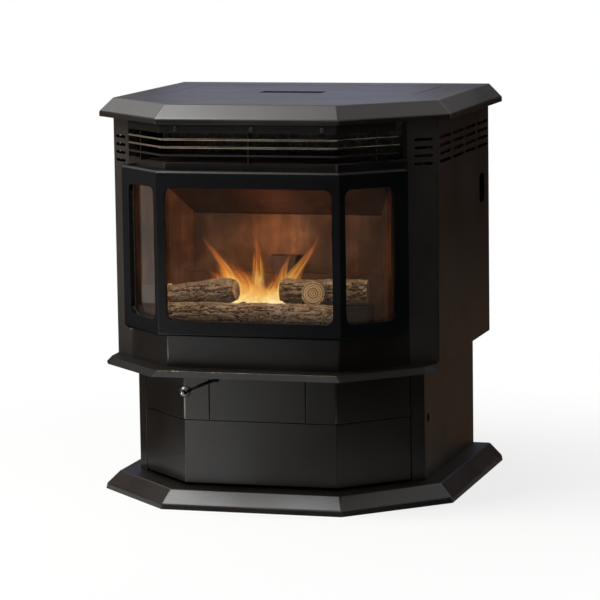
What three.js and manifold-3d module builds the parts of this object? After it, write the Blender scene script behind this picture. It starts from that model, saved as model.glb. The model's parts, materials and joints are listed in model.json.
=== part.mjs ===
// A free-standing bay-front pellet stove on a pedestal.
// Millimetres, +Z up, front towards -Y. The origin is on the floor, under the middle of the stove.

import * as THREE from 'three';
import { ConvexGeometry } from 'three/addons/geometries/ConvexGeometry.js';
import { mergeVertices } from 'three/addons/utils/BufferGeometryUtils.js';
import Module from 'manifold-3d';

const wasm = await Module();
wasm.setup();

// ---------------------------------------------------------------- driving dimensions

const SHEET = 2; // folded steel panels
const PLATE = 3; // top, base, floor and welded firebox
const GAP = 0.3; // between pieces that rest on each other
const FAR = 1000; // longer than the stove, for cutters
const HALF_MITRE = Math.tan(Math.PI / 8); // the bay's sides stand at 45 degrees
const DIAGONAL = Math.SQRT1_2;

// A bay has a front facet between creases at +-crease, and 45 degree sides that reach out to +-half.
const TOP = { half: 360, crease: 183.5, front: -286.5, back: 350, z: 790, bevel: 27, lip: 10 };
const BASE = { half: 358, crease: 182, front: -293.5, back: 339, z: 36, bevel: 25.5, lip: 10.5, flare: 2 };
const FLOOR = { half: 331.5, crease: 173.5, front: -266, back: 347, z: 277 };
const FACE = { crease: 173.5, front: -266, half: 283.6, top: 676 }; // fixed front behind the door
const DOOR = { crease: 183.5, front: -287, half: 290, z0: 341, z1: 663, skin: 9.5, depth: 17, edge: 4 };
const PEDESTAL = { crease: 154.5, front: -226, half: 272.9, side: 297.5, back: 338 };
const HEADER = { crease: 178.5, front: -282, half: 272, z0: 736, z1: 762.8, shelf: 18 };

const SLATS = [
  { crease: 176.5, front: -279, half: 273.5, z: 723.3 },
  { crease: 176.8, front: -277.5, half: 274.7, z: 707.9 },
  { crease: 178.5, front: -278, half: 274.3, z: 692.5 },
];
const SLAT = { depth: 12, thickness: 1.5, lip: 3.6 };
const COMB = { thickness: 2.4, ahead: 8.5, behind: 12, along: 84, foot: 2 };

// The ash ledge, as the right halves of its lower and upper outlines.
const SHELF = {
  lower: [[190, -322], [325.4, -186.6], [340.3, -151], [333, -107]],
  upper: [[180, -313], [316, -177], [330, -148.5], [331.8, -107]],
  drop: 11,
  tongue: 20,
};

const PILLAR = { plane: 436.5, inner: 284, outer: 331.2, flange: 20, top: 781.9 };
const SIDE = { half: 331.5, front: -104, back: 347, flange: 12, top: 752.7, nose: -101.7 };
const REAR = { half: 318, y0: 345, y1: 346.7 };

const PEDESTAL_TOP = FLOOR.z - PLATE - GAP;
const PEDESTAL_SEAM = 167;
const ASH_DOOR = { z0: 42, z1: 166, depth: 12 };
const BAND_SEAMS = [-102.5, 93.5];
const SEAM = 1; // half of the gap between two band panels

const LOUVRE = { height: 6, pitch: 15.7, lowest: 667.4, rows: 4 };
const SIDE_LOUVRE = { length: 92, pitch: 109, first: -82, columns: 4 };
const PILLAR_LOUVRE = { length: 43, centre: 309.5 };
const FINGER_SLOT = { y: 283, z: 580, width: 46, height: 60, round: 10 };

const LID = { x: [-258, 252], y: [14, 261.7], rim: 4, drop: 12, seam: 2 };
const LID_HINGE = { y: 265, z: 787, knuckle: 2.9, pin: 1.4, centres: [-170, 164] };
const LID_PULL = { x: [-80, 58], y: [49, 101], depth: 16, wall: 2 };

const WINDOW = { z0: 371, z1: 630, half: 168, round: 15, sideFrom: 12.7, sideTo: 121.6 };
const GLASS = { depth: 12, thickness: 4, margin: 8 };
const DOOR_AXIS = { along: 6, inward: 11, pin: 3 };
const ASH_AXIS = { along: 4, inward: 4.5, pin: 1.5 };
const PANEL_AXIS = { x: 326, y: -96, pin: 2.5 };

const FIREBOX = { mouth: 268, bend: -160, rear: 195, back: -12, z0: 340, z1: 672 };
const MOUTH = { half: 262, z0: 362, z1: 640 };
const FIREPOT = { half: 58, y: [-152, -48], z0: 303, rim: 390 };
const BAFFLE = { low: [-12, 550], high: [-120, 640], bolt: -52 };
const CHUTE = { foot: 20, half: 29, front: -62, nose: 12, z0: 436, z1: 472, hole: 18 };
const LINER = { thin: 4, thick: 16 };
const LOG_REST = { y: [-164, -118], left: 378, right: 389.5, lug: 348, plate: 2 };
const ASH_DROP = { x: [-105, 75], y: [-212, -40] };
const STAND = { half: 118, y: [-230, -30] };

const ROD = { x: -103.3, y: -372.6, z: 249, splay: 6.4, radius: 3.2, knob: 11, innerY: -122 };

const AUGER = { tilt: 25, z: 454, tube: 22, bore: 20, flight: 17.5, shaft: 6, pitch: 34, length: 236 };
const HOPPER = {
  x: [-266, 260],
  y: [6, 294],
  outletX: [-32, 32],
  outletY: [128, 196],
  top: 786.7,
  knee: 640,
  neck: 436,
  foot: 366,
  wall: 2.4,
};

const EXHAUST = {
  x: -150,
  y: 240,
  z: 360,
  wheel: 50,
  throat: 13,
  width: 54,
  reach: 60,
  wall: 1.6,
  blades: 8,
  root: 14,
  legs: [[-37, -56.5], [37, -68.8]],
};
const SMOKE = { z: 385, radius: 28 };
const DUCT = { wall: 1.6, outer: -240, inner: -118, bend: 46, rear: 285 };
const FLUE = { radius: 38, wall: 1.5, drop: 38.8, end: 383.6, flange: 40 };
const CONVECTION = {
  x: 165,
  y: 150,
  z: 356,
  wheel: 52,
  throat: 16,
  width: 110,
  reach: 130,
  wall: 1.6,
  blades: 24,
  root: 41,
  legs: [[-37, -48.8], [37, -52.9]],
};
const BLOWER_MOTOR = { radius: 36, length: 60 };
const INTAKE = { x: 100, z: 316, radius: 25, wall: 1.5, y: [300, 372] };
const CONTROL = { x: [236, 314], y: [225, 344.7], z: [277.3, 400] };
const INLET = { x: 262, z: 313, width: 28, height: 22, end: 353 };

// ---------------------------------------------------------------- materials

function finish(hex, roughness, metalness) {
  return new THREE.MeshStandardMaterial({ color: hex, roughness, metalness });
}

const black = finish(0x1d1b1a, 0.45, 0.3);
const doorBlack = finish(0x141518, 0.4, 0.4);
const bareSteel = finish(0x6f7071, 0.5, 0.8);
const bright = finish(0xb8b0a6, 0.25, 1);
const galvanised = finish(0x9a9d9f, 0.45, 0.8);
const castIron = finish(0x33302e, 0.75, 0.5);
const ceramic = finish(0x8a6f55, 0.95, 0);
const smokedGlass = finish(0x2a2624, 0.05, 0);
const rope = finish(0x4c4c4a, 0.95, 0);
const phenolic = finish(0x0b0b0b, 0.12, 0);

// ---------------------------------------------------------------- solids

function toSolid(geometry) {
  const bare = geometry.clone();
  bare.deleteAttribute('normal');
  bare.deleteAttribute('uv');
  const merged = mergeVertices(bare, 1e-4);
  const mesh = new wasm.Mesh({
    numProp: 3,
    vertProperties: new Float32Array(merged.attributes.position.array),
    triVerts: new Uint32Array(merged.index.array),
  });
  return new wasm.Manifold(mesh);
}

function toGeometry(solid) {
  const mesh = solid.getMesh();
  const geometry = new THREE.BufferGeometry();
  geometry.setAttribute('position', new THREE.BufferAttribute(mesh.vertProperties, 3));
  geometry.setIndex(new THREE.BufferAttribute(mesh.triVerts, 1));
  geometry.computeVertexNormals();
  return geometry;
}

function join(...parts) {
  return toGeometry(parts.map(toSolid).reduce((all, part) => all.add(part)));
}

function cut(body, ...cutters) {
  return toGeometry(cutters.map(toSolid).reduce((all, cutter) => all.subtract(cutter), toSolid(body)));
}

function common(a, b) {
  return toGeometry(toSolid(a).intersect(toSolid(b)));
}

function mirrorX(geometry) {
  const flipped = geometry.clone().scale(-1, 1, 1);
  const corners = flipped.index.array;
  for (let i = 0; i < corners.length; i += 3) {
    [corners[i], corners[i + 1]] = [corners[i + 1], corners[i]];
  }
  flipped.computeVertexNormals();
  return flipped;
}

// ---------------------------------------------------------------- shapes

function block([x0, x1], [y0, y1], [z0, z1]) {
  const geometry = new THREE.BoxGeometry(x1 - x0, y1 - y0, z1 - z0);
  return geometry.translate((x0 + x1) / 2, (y0 + y1) / 2, (z0 + z1) / 2);
}

// A flat outline of [x, y] points raised from z0 to z1.
function prism(outline, z0, z1) {
  const shape = new THREE.Shape(outline.map(([x, y]) => new THREE.Vector2(x, y)));
  const geometry = new THREE.ExtrudeGeometry(shape, { depth: z1 - z0, bevelEnabled: false });
  return geometry.translate(0, 0, z0);
}

// A [y, z] outline run along X from x0 to x1.
function runAlongX(outline, x0, x1) {
  const [alongY, alongZ, alongX] = [[0, 1, 0], [0, 0, 1], [1, 0, 0]].map((v) => new THREE.Vector3(...v));
  const turn = new THREE.Matrix4().makeBasis(alongY, alongZ, alongX);
  return prism(outline, x0, x1).applyMatrix4(turn);
}

// A round bar on an axis, between two coordinates.
function bar(axis, radius, from, to, sides = 24) {
  const geometry = new THREE.CylinderGeometry(radius, radius, Math.abs(to - from), sides);
  geometry.translate(0, (from + to) / 2, 0);
  if (axis === 'x') geometry.rotateZ(-Math.PI / 2);
  if (axis === 'z') geometry.rotateX(Math.PI / 2);
  return geometry;
}

// A round-cornered bar, width along X and height along Z, run along Y.
function roundedBar(width, height, radius, [y0, y1], curveSegments = 3) {
  const [w, h] = [width / 2 - radius, height / 2 - radius];
  const quarter = Math.PI / 2;
  const shape = new THREE.Shape();
  shape.absarc(w, -h, radius, -quarter, 0);
  shape.absarc(w, h, radius, 0, quarter);
  shape.absarc(-w, h, radius, quarter, 2 * quarter);
  shape.absarc(-w, -h, radius, 2 * quarter, 3 * quarter);
  const geometry = new THREE.ExtrudeGeometry(shape, { depth: y1 - y0, bevelEnabled: false, curveSegments });
  return geometry.rotateX(quarter).translate(0, y1, 0);
}

// The convex solid through flat outlines, each given as [outline, z].
function loft(...levels) {
  const points = levels.flatMap(([outline, z]) => outline.map(([x, y]) => new THREE.Vector3(x, y, z)));
  return new ConvexGeometry(points);
}

// A closed solid through rings of corners with equal counts, capped at both ends.
function ringedSolid(corners, sides) {
  const last = corners.length - sides;
  const index = [];
  for (let start = 0; start < last; start += sides) {
    for (let k = 0; k < sides; k += 1) {
      const [a, b] = [start + k, start + ((k + 1) % sides)];
      index.push(a, b, b + sides, a, b + sides, a + sides);
    }
  }
  for (let k = 1; k < sides - 1; k += 1) {
    index.push(0, k + 1, k, last, last + k, last + k + 1);
  }
  const geometry = new THREE.BufferGeometry().setFromPoints(corners);
  geometry.setIndex(index);
  geometry.computeVertexNormals();
  return geometry;
}

// A block along Y with its section centred on x and z.
function around(x, z, width, height, y) {
  return block([x - width / 2, x + width / 2], y, [z - height / 2, z + height / 2]);
}

const rectangle = ([x0, x1], [y0, y1]) => [[x0, y0], [x1, y0], [x1, y1], [x0, y1]];
const inset = ([low, high], by) => [low + by, high - by];

// ---------------------------------------------------------------- bays

const mirrored = (half) => [...half.map(([x, y]) => [-x, y]).reverse(), ...half];

// The open path of a bay, from its left edge over the front to its right edge.
function bayPath({ crease, front, half }) {
  return mirrored([[crease, front], [half, front + half - crease]]);
}

// The closed plan of a bay with straight sides back to its rear edge.
function bayPlan({ half, crease, front, back }) {
  return mirrored([[crease, front], [half, front + half - crease], [half, back]]);
}

// The plan drawn in all round, except at the rear.
function shrink(bay, by) {
  return { ...bay, half: bay.half - by, crease: bay.crease - by * HALF_MITRE, front: bay.front + by };
}

// The same facets further inward, with their ends level or shortened along the facet.
function behind(bay, inward, shorten = 0) {
  const half = bay.half - (inward + shorten) * DIAGONAL;
  return { ...bay, crease: bay.crease - inward * HALF_MITRE, front: bay.front + inward, half };
}

// A path moved to its left, with mitred corners.
function offsetPath(path, by) {
  const normals = path.slice(1).map(([x, y], i) => {
    const [dx, dy] = [x - path[i][0], y - path[i][1]];
    const length = Math.hypot(dx, dy);
    return [-dy / length, dx / length];
  });
  return path.map(([x, y], i) => {
    const a = normals[Math.max(i - 1, 0)];
    const b = normals[Math.min(i, normals.length - 1)];
    const scale = by / (1 + a[0] * b[0] + a[1] * b[1]);
    return [x + (a[0] + b[0]) * scale, y + (a[1] + b[1]) * scale];
  });
}

// Sheet metal folded along a path seen from above, its thickness to the path's left.
function foldedSheet(path, thickness, z0, z1) {
  return prism([...path, ...offsetPath(path, thickness).reverse()], z0, z1);
}

// A bay panel with its edges turned inward, open behind.
function bayTray(bay, skin, wall, depth, [z0, z1]) {
  const outside = foldedSheet(bayPath(bay), depth, z0, z1);
  const pocket = foldedSheet(bayPath(behind(bay, skin, wall)), depth, z0 + wall, z1 - wall);
  return cut(outside, pocket);
}

// A bay's plate with a bevelled and lipped rim, folded from one sheet and open below.
function bayPan(bay, flare) {
  const crown = shrink(bay, bay.bevel);
  const rimZ = bay.z - bay.bevel;
  const edge = { ...shrink(bay, -flare), back: bay.back };
  const outside = loft([bayPlan(edge), rimZ - bay.lip], [bayPlan(bay), rimZ], [bayPlan(crown), bay.z]);
  const inner = (outer, by) => bayPlan({ ...shrink(outer, by), back: bay.back - PLATE });
  const corner = PLATE * HALF_MITRE;
  const hollow = loft(
    [inner(bay, PLATE), rimZ - bay.lip - PLATE],
    [inner(bay, PLATE), rimZ - corner],
    [inner(crown, corner), bay.z - PLATE],
  );
  return cut(outside, hollow);
}

// Moves a piece drawn at a crease, X along the facet and Y inward, onto a bay's side facet.
function ontoSide(geometry, bay, side) {
  return geometry.rotateZ((side * Math.PI) / 4).translate(side * bay.crease, bay.front, 0);
}

// A point given by its distance along the left facet from its edge, and inward.
function fromLeftEdge(bay, along, inward) {
  const edgeY = bay.front + bay.half - bay.crease;
  return [-bay.half + (along + inward) * DIAGONAL, edgeY + (inward - along) * DIAGONAL];
}

const stove = new THREE.Group();

function piece(name, geometry, material) {
  const mesh = new THREE.Mesh(geometry, material);
  mesh.name = name;
  stove.add(mesh);
}

// ---------------------------------------------------------------- base and pedestal

function basePlate() {
  const [x, y] = fromLeftEdge(PEDESTAL, ASH_AXIS.along, ASH_AXIS.inward);
  const pinHole = bar('z', ASH_AXIS.pin + 0.7, BASE.z - 2 * PLATE, BASE.z + PLATE, 12).translate(x, y, 0);
  return cut(bayPan(BASE, BASE.flare), pinHole);
}

// Back and side walls with the front pilasters, folded from one strip.
function pedestalShell() {
  const plane = PEDESTAL.crease - PEDESTAL.front;
  const edge = PEDESTAL.half + 2.1;
  const fold = 14;
  const right = [
    [edge - fold, edge - plane + fold],
    [edge, edge - plane],
    [PEDESTAL.side, PEDESTAL.side - plane],
    [PEDESTAL.side, PEDESTAL.back],
  ];
  const left = right.map(([x, y]) => [-x, y]).reverse();
  const shell = foldedSheet([...right, ...left], SHEET, BASE.z + GAP, PEDESTAL_TOP);
  const sideHole = bar('x', 9, 0, FAR).translate(0, -58, 157);
  return cut(shell, sideHole);
}

function bandPanel(path) {
  return foldedSheet(path, SHEET, PEDESTAL_SEAM + SEAM, PEDESTAL_TOP);
}

function pedestalBands() {
  const [leftEdge, leftCrease, rightCrease, rightEdge] = bayPath(PEDESTAL);
  const [leftSeam, rightSeam] = BAND_SEAMS;
  const at = (x) => [x, PEDESTAL.front];
  piece('band_left', bandPanel([leftEdge, leftCrease, at(leftSeam - SEAM)]), black);
  piece('band_right', bandPanel([at(rightSeam + SEAM), rightCrease, rightEdge]), black);
  const centre = bandPanel([at(leftSeam + SEAM), at(rightSeam - SEAM)]);
  const rodHole = bar('y', ROD.radius + 2.6, -FAR, FAR, 16).translate(rodX(PEDESTAL.front), 0, ROD.z);
  piece('band_centre', cut(centre, rodHole), black);
}

// The rail behind the seam between the ash door and the band.
function pedestalCrossrail() {
  const inward = SHEET + GAP;
  const shorten = -2.65;
  const z0 = ASH_DOOR.z1 + 0.6;
  const rail = foldedSheet(bayPath(behind(PEDESTAL, inward, shorten)), SHEET, z0, z0 + 16);
  const corners = [[12, inward], [shorten, inward], [shorten, 12], [12, 12]];
  const tab = prism(corners.map(([along, by]) => fromLeftEdge(PEDESTAL, along, by)), z0, z0 + PLATE);
  const [x, y] = fromLeftEdge(PEDESTAL, ASH_AXIS.along, ASH_AXIS.inward);
  const pinHole = bar('z', ASH_AXIS.pin + 0.5, z0 - 5, z0 + 8, 12).translate(x, y, 0);
  return cut(join(rail, tab), pinHole);
}

function ashDoor() {
  const { z0, z1, depth } = ASH_DOOR;
  const tray = bayTray(PEDESTAL, SHEET, SHEET, depth, [z0, z1]);
  const [x, y] = fromLeftEdge(PEDESTAL, ASH_AXIS.along, ASH_AXIS.inward);
  const pin = (from, to) => bar('z', ASH_AXIS.pin, from, to, 12).translate(x, y, 0);
  return join(tray, pin(z0 - 8, z0 + 1), pin(z1 - 1, z1 + 3.4));
}

function ashPan() {
  const [bottom, top] = [BASE.z + GAP, 140];
  const plan = (by) => rectangle(inset([-165, 165], by), inset([-190, 30], by));
  const taper = 18;
  const outside = loft([plan(taper), bottom], [plan(0), top]);
  const inside = loft([plan(taper + 1.5), bottom + 1.5], [plan(1.6), top + 1]);
  const grip = bar('x', 3, -45, 45, 10).translate(0, -205, 118);
  const arm = (x) => block([x - 3, x + 3], [-205, -185.4], [115, 121]);
  return join(cut(outside, inside), grip, arm(-42), arm(42));
}

// ---------------------------------------------------------------- cabinet

function cabinetFloor() {
  const plate = prism(bayPlan(FLOOR), FLOOR.z - PLATE, FLOOR.z);
  const through = [FLOOR.z - 10, FLOOR.z + 10];
  const ashDrop = block(ASH_DROP.x, ASH_DROP.y, through);
  const hole = (x, y, r) => bar('z', r, ...through, 16).translate(x, y, 0);
  const { x, y, pin } = PANEL_AXIS;
  return cut(plate, ashDrop, hole(-x, y, pin + 0.5), hole(x, y, pin + 0.5), hole(200, 300, 14));
}

// The ledge round the front, bent down at its edge, with a tongue under the cabinet floor.
function ashShelf() {
  const [lower, upper] = [mirrored(SHELF.lower), mirrored(SHELF.upper)];
  const bottom = FLOOR.z - SHELF.drop;
  const outside = loft([upper, FLOOR.z], [lower, bottom]);
  const hollow = loft(
    [offsetPath(upper, 1.4), FLOOR.z - PLATE],
    [offsetPath(lower, 4), bottom],
    [offsetPath(lower, 4), bottom - 10],
  );
  const floorSpace = prism(bayPlan(shrink(FLOOR, -GAP)), bottom - 20, FLOOR.z + 10);
  const rest = block([-FAR, FAR], [-107.2, FAR], [0, FAR]);
  const rim = cut(outside, hollow, floorSpace, rest);
  const ahead = 4;
  const tonguePath = bayPath(behind({ ...FLOOR, half: 322 }, -ahead));
  const under = FLOOR.z - PLATE - GAP;
  const tongue = foldedSheet(tonguePath, SHELF.tongue + ahead, under - SHEET, under);
  const web = foldedSheet(tonguePath, ahead - GAP, under - SHEET, FLOOR.z - 1);
  return join(rim, tongue, web);
}

// The wall round the firebox's mouth, with the door's two hinge tabs welded to it.
function frontFace() {
  const face = foldedSheet(bayPath(FACE), PLATE, FLOOR.z + GAP, FACE.top);
  const mouth = block([-MOUTH.half, MOUTH.half], [-FAR, FAR], [MOUTH.z0, MOUTH.z1]);
  return join(cut(face, mouth), ...doorHingeTabs());
}

function doorHingeTabs() {
  const weld = (DOOR.crease - DOOR.front - FACE.crease + FACE.front) * DIAGONAL + 1;
  const corners = [[0, 4], [0, weld], [18, weld], [18, 11], [12, 4]];
  const outline = corners.map(([along, inward]) => fromLeftEdge(DOOR, along, inward));
  const [x, y] = fromLeftEdge(DOOR, DOOR_AXIS.along, DOOR_AXIS.inward);
  const hole = bar('z', DOOR_AXIS.pin + 0.4, 0, FAR, 12).translate(x, y, 0);
  const clear = 0.7;
  const upper = prism(outline, DOOR.z1 + clear, DOOR.z1 + clear + PLATE);
  const lower = prism(outline, DOOR.z0 - clear - PLATE, DOOR.z0 - clear);
  return [cut(upper, hole), cut(lower, hole)];
}

function louvreHeights() {
  return Array.from({ length: LOUVRE.rows }, (_, row) => LOUVRE.lowest + row * LOUVRE.pitch);
}

function louvre(length, depth) {
  return roundedBar(length, LOUVRE.height, LOUVRE.height / 2.1, [-depth, depth], 1);
}

// The narrow slotted corner beside the door, with the ear that holds the side panel's top pin.
function rightPillar() {
  const at = (x) => [x, x - PILLAR.plane];
  const [innerX, innerY] = at(PILLAR.inner);
  const fold = PILLAR.flange * DIAGONAL;
  const path = [[innerX - fold, innerY + fold], at(PILLAR.inner), at(PILLAR.outer)];
  const sheet = foldedSheet(path, SHEET, FLOOR.z + GAP, PILLAR.top);
  const slots = louvreHeights().map((z) => {
    const [x, y] = at(PILLAR_LOUVRE.centre);
    return louvre(PILLAR_LOUVRE.length, 10).rotateZ(Math.PI / 4).translate(x, y, z);
  });
  const reach = PILLAR.plane - SHEET;
  const ear = [[314, 314 - reach], [329, 329 - reach], [331, -101], [331, -90], [318, -90], [314, -100]];
  const { x, y, pin } = PANEL_AXIS;
  const earZ = SIDE.top + 2.5;
  const pinHole = bar('z', pin + 0.5, earZ - 5, earZ + 10, 12).translate(x, y, 0);
  return cut(join(cut(sheet, ...slots), prism(ear, earZ, earZ + PLATE)), pinHole);
}

function rightSidePanel() {
  const { half, front, back, flange, top, nose } = SIDE;
  const z = [FLOOR.z + GAP, top];
  const edge = half - flange;
  const outline = [[edge, front], [half + front - nose, front], [half, nose], [half, back], [edge, back]];
  const hollow = block([edge - flange, half - SHEET], inset([front, back], SHEET), inset(z, SHEET));
  const slots = louvreHeights().flatMap((height) =>
    Array.from({ length: SIDE_LOUVRE.columns }, (_, column) => {
      const middle = SIDE_LOUVRE.first + SIDE_LOUVRE.length / 2 + column * SIDE_LOUVRE.pitch;
      return louvre(SIDE_LOUVRE.length, 5).rotateZ(Math.PI / 2).translate(half, middle, height);
    }),
  );
  const finger = roundedBar(FINGER_SLOT.width, FINGER_SLOT.height, FINGER_SLOT.round, [-5, 5]);
  finger.rotateZ(Math.PI / 2).translate(half, FINGER_SLOT.y, FINGER_SLOT.z);
  const tray = cut(prism(outline, ...z), hollow, finger, ...slots);
  const stud = (from, to) => bar('z', PANEL_AXIS.pin, from, to, 12).translate(PANEL_AXIS.x, PANEL_AXIS.y, 0);
  return join(tray, stud(z[0] - PLATE, z[0] + 1), stud(z[1] - 1, z[1] + 5.5));
}

function rearPanel() {
  const through = [REAR.y0 - 5, REAR.y1 + 5];
  const sheet = block([-REAR.half, REAR.half], [REAR.y0, REAR.y1], [FLOOR.z + GAP, TOP.z - PLATE - GAP]);
  const round = (x, z, r) => bar('y', r, ...through).translate(x, 0, z);
  const flueHole = round(EXHAUST.x, EXHAUST.z - FLUE.drop, FLUE.radius + 1);
  const intakeHole = round(INTAKE.x, INTAKE.z, INTAKE.radius + 1);
  const inletHole = around(INLET.x, INLET.z, INLET.width + 4, INLET.height + 4, through);
  const vents = [0, 1, 2, 3].flatMap((row) =>
    [-150, 0, 150].map((x) => roundedBar(110, 7, 3.3, through, 1).translate(x, 0, 430 + row * 18)),
  );
  return cut(sheet, flueHole, intakeHole, inletHole, ...vents);
}

// ---------------------------------------------------------------- top, lid and hopper

function topPlate() {
  const back = LID_HINGE.y + LID_HINGE.knuckle + 1.2;
  const opening = block(inset(LID.x, -LID.seam), [LID.y[0] - LID.seam, back], [TOP.z - 10, TOP.z + 5]);
  return cut(bayPan(TOP, 0), opening);
}

// Hinge barrels over [from, to] spans on the lid's axis.
function lidBarrels(spans) {
  const { y, z, knuckle } = LID_HINGE;
  return join(...spans.map(([from, to]) => bar('x', knuckle, from, to, 16).translate(0, y, z)));
}

// The fixed half of one lid hinge: two barrels, the pin and the leaf under the top plate.
function lidHinge(centre) {
  const { y, z, pin } = LID_HINGE;
  const leafZ = [z - 2.4, z - 0.4];
  const whole = [centre - 30, centre + 30];
  const spans = [[centre - 30, centre - 11], [centre + 11, centre + 30]];
  const arms = spans.map((span) => block(span, [y, y + 4], leafZ));
  const rod = bar('x', pin, ...whole, 12).translate(0, y, z);
  return join(lidBarrels(spans), block(whole, [y + 3.4, y + 24], leafZ), ...arms, rod);
}

function hopperLid() {
  const { x, y, rim, drop } = LID;
  const plate = block(x, y, [TOP.z - PLATE, TOP.z]);
  const skirt = block(inset(x, rim), inset(y, rim), [TOP.z - drop, TOP.z - 1]);
  const pocket = block(inset(x, rim + SHEET), inset(y, rim + SHEET), [TOP.z - 2 * drop, TOP.z - PLATE]);
  const margin = LID_PULL.wall + 1;
  const pullHole = block(inset(LID_PULL.x, margin), inset(LID_PULL.y, margin), [TOP.z - 20, TOP.z + 10]);
  const spans = LID_HINGE.centres.map((c) => [c - 10.7, c + 10.7]);
  const web = (span) => block(span, [y[1] - rim - 1, LID_HINGE.y], [LID_HINGE.z - 2.9, LID_HINGE.z - 0.9]);
  const pinBore = bar('x', LID_HINGE.pin + 0.3, -FAR, FAR, 12).translate(0, LID_HINGE.y, LID_HINGE.z);
  return cut(join(plate, skirt, lidBarrels(spans), ...spans.map(web)), pocket, pullHole, pinBore);
}

function lidPullCup() {
  const top = TOP.z - PLATE - GAP;
  const { x, y, depth, wall } = LID_PULL;
  const inside = block(inset(x, wall), inset(y, wall), [top - depth + wall, top + 5]);
  return cut(block(x, y, [top - depth, top]), inside);
}

// A hopper whose spout straddles the auger tube, with a ledge under the lid's edges.
function hopper() {
  const { top, knee, neck, foot, wall } = HOPPER;
  const body = (by, rise) => {
    const mouth = rectangle(inset(HOPPER.x, by), inset(HOPPER.y, by));
    const outlet = rectangle(inset(HOPPER.outletX, by), inset(HOPPER.outletY, by));
    return join(loft([mouth, top + rise], [mouth, knee], [outlet, neck]), prism(outlet, foot - rise, neck + 1));
  };
  const shell = cut(body(0, 0), body(wall, 5), augerBar(AUGER.tube + GAP, -20, 260));
  const ledge = block(HOPPER.x, [HOPPER.y[0], LID.y[1]], [top - SHEET, top]);
  const under = LID.rim - 1;
  const mouth = block(inset(LID.x, under), [LID.y[0] + under, FAR], [top - 10, top + 10]);
  return join(shell, cut(ledge, mouth));
}

// ---------------------------------------------------------------- grille

function header() {
  const strip = foldedSheet(bayPath(HEADER), SHEET, HEADER.z0, HEADER.z1);
  const shelf = foldedSheet(bayPath(HEADER), HEADER.shelf, HEADER.z0, HEADER.z0 + SHEET);
  return join(strip, shelf);
}

function slat(spec) {
  const { depth, thickness, lip } = SLAT;
  const blade = foldedSheet(bayPath(spec), depth, spec.z - thickness / 2, spec.z + thickness / 2);
  const nose = foldedSheet(bayPath(spec), thickness, spec.z - lip / 2, spec.z + lip / 2);
  return join(blade, nose);
}

// A strip on the front's top edge, with three upright combs that hold the slats.
function grilleRack() {
  const halfSlot = SLAT.thickness / 2 + GAP;
  const x = [-COMB.thickness / 2, COMB.thickness / 2];
  const bottom = FACE.top + GAP;
  const slot = ({ z }) => block([-5, 5], [-20, 1.9], [z - halfSlot, z + halfSlot]);
  const comb = () => cut(block(x, [-COMB.ahead, COMB.behind], [bottom, HEADER.z0 - GAP]), ...SLATS.map(slot));
  const sides = [-1, 1].map((side) => ontoSide(comb().translate(side * COMB.along, 0, 0), FACE, side));
  const foot = foldedSheet(bayPath(FACE), COMB.behind, bottom, bottom + COMB.foot);
  return join(comb().translate(0, FACE.front, 0), ...sides, foot);
}

// ---------------------------------------------------------------- firebox

function fireboxPath() {
  const { mouth, bend, rear, back } = FIREBOX;
  return [[mouth, -400], [mouth, bend], [rear, back], [-rear, back], [-mouth, bend], [-mouth, -400]];
}

// The space behind the front face.
function behindFace() {
  return prism(bayPlan({ ...behind(FACE, PLATE + GAP), half: 330, back: FAR }), 0, FAR);
}

// The space inside the firebox walls.
function insideFirebox() {
  return common(prism(offsetPath(fireboxPath(), PLATE + GAP), 0, FAR), behindFace());
}

function smokeHole() {
  return bar('y', SMOKE.radius, FIREBOX.back - 40, FIREBOX.back + 20).translate(EXHAUST.x, 0, SMOKE.z);
}

function fireboxShell() {
  const { z0, z1, back } = FIREBOX;
  const path = fireboxPath();
  const walls = foldedSheet(path, PLATE, z0, z1);
  const box = common(join(walls, prism(path, z0, z0 + PLATE), prism(path, z1 - PLATE, z1)), behindFace());
  const potHole = block(inset([-FIREPOT.half, FIREPOT.half], -2), inset(FIREPOT.y, -2), [z0 - 10, z0 + 10]);
  const feedHole = bar('y', AUGER.bore, back - 10, back + 10).translate(0, 0, AUGER.z + 1);
  return cut(box, potHole, feedHole, smokeHole());
}

// The rear wall's liner, thicker below the feed chute, with the baffle's foot on its top edge.
function fireboxLiner() {
  const face = FIREBOX.back - PLATE - GAP;
  const [thin, thick] = [face - LINER.thin, face - LINER.thick];
  const [bottom, step, top] = [FIREBOX.z0 + PLATE + GAP, CHUTE.z0 - GAP, BAFFLE.low[1] + 2.4];
  const profile = [[face, bottom], [face, top], [thin, top], [thin, step], [thick, step], [thick, bottom]];
  const feedHole = bar('y', CHUTE.hole, -60, 10).translate(0, 0, AUGER.z - 2);
  return cut(common(runAlongX(profile, -FAR, FAR), insideFirebox()), feedHole, smokeHole());
}

// Places a piece drawn on the baffle's lower face, near its foot.
function onBaffle(geometry) {
  const [[y0, z0], [y1, z1]] = [BAFFLE.low, BAFFLE.high];
  const up = 0.2;
  geometry.rotateX(-Math.atan2(z1 - z0, y0 - y1));
  return geometry.translate(BAFFLE.bolt, y0 + up * (y1 - y0), z0 + up * (z1 - z0));
}

function baffle() {
  const [[y0, z0], [y1, z1]] = [BAFFLE.low, BAFFLE.high];
  const length = Math.hypot(y1 - y0, z1 - z0);
  const [ny, nz] = [(PLATE * (z1 - z0)) / length, (PLATE * (y0 - y1)) / length];
  const profile = [[y0, z0], [y0 + ny, z0 + nz], [y1 + ny, z1 + nz], [y1, z1]];
  const plate = common(runAlongX(profile, -FAR, FAR), insideFirebox());
  return join(plate, onBaffle(bar('z', 9, -1.6, 1, 16)), onBaffle(bar('z', 5, -4.5, 1, 8)));
}

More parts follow.
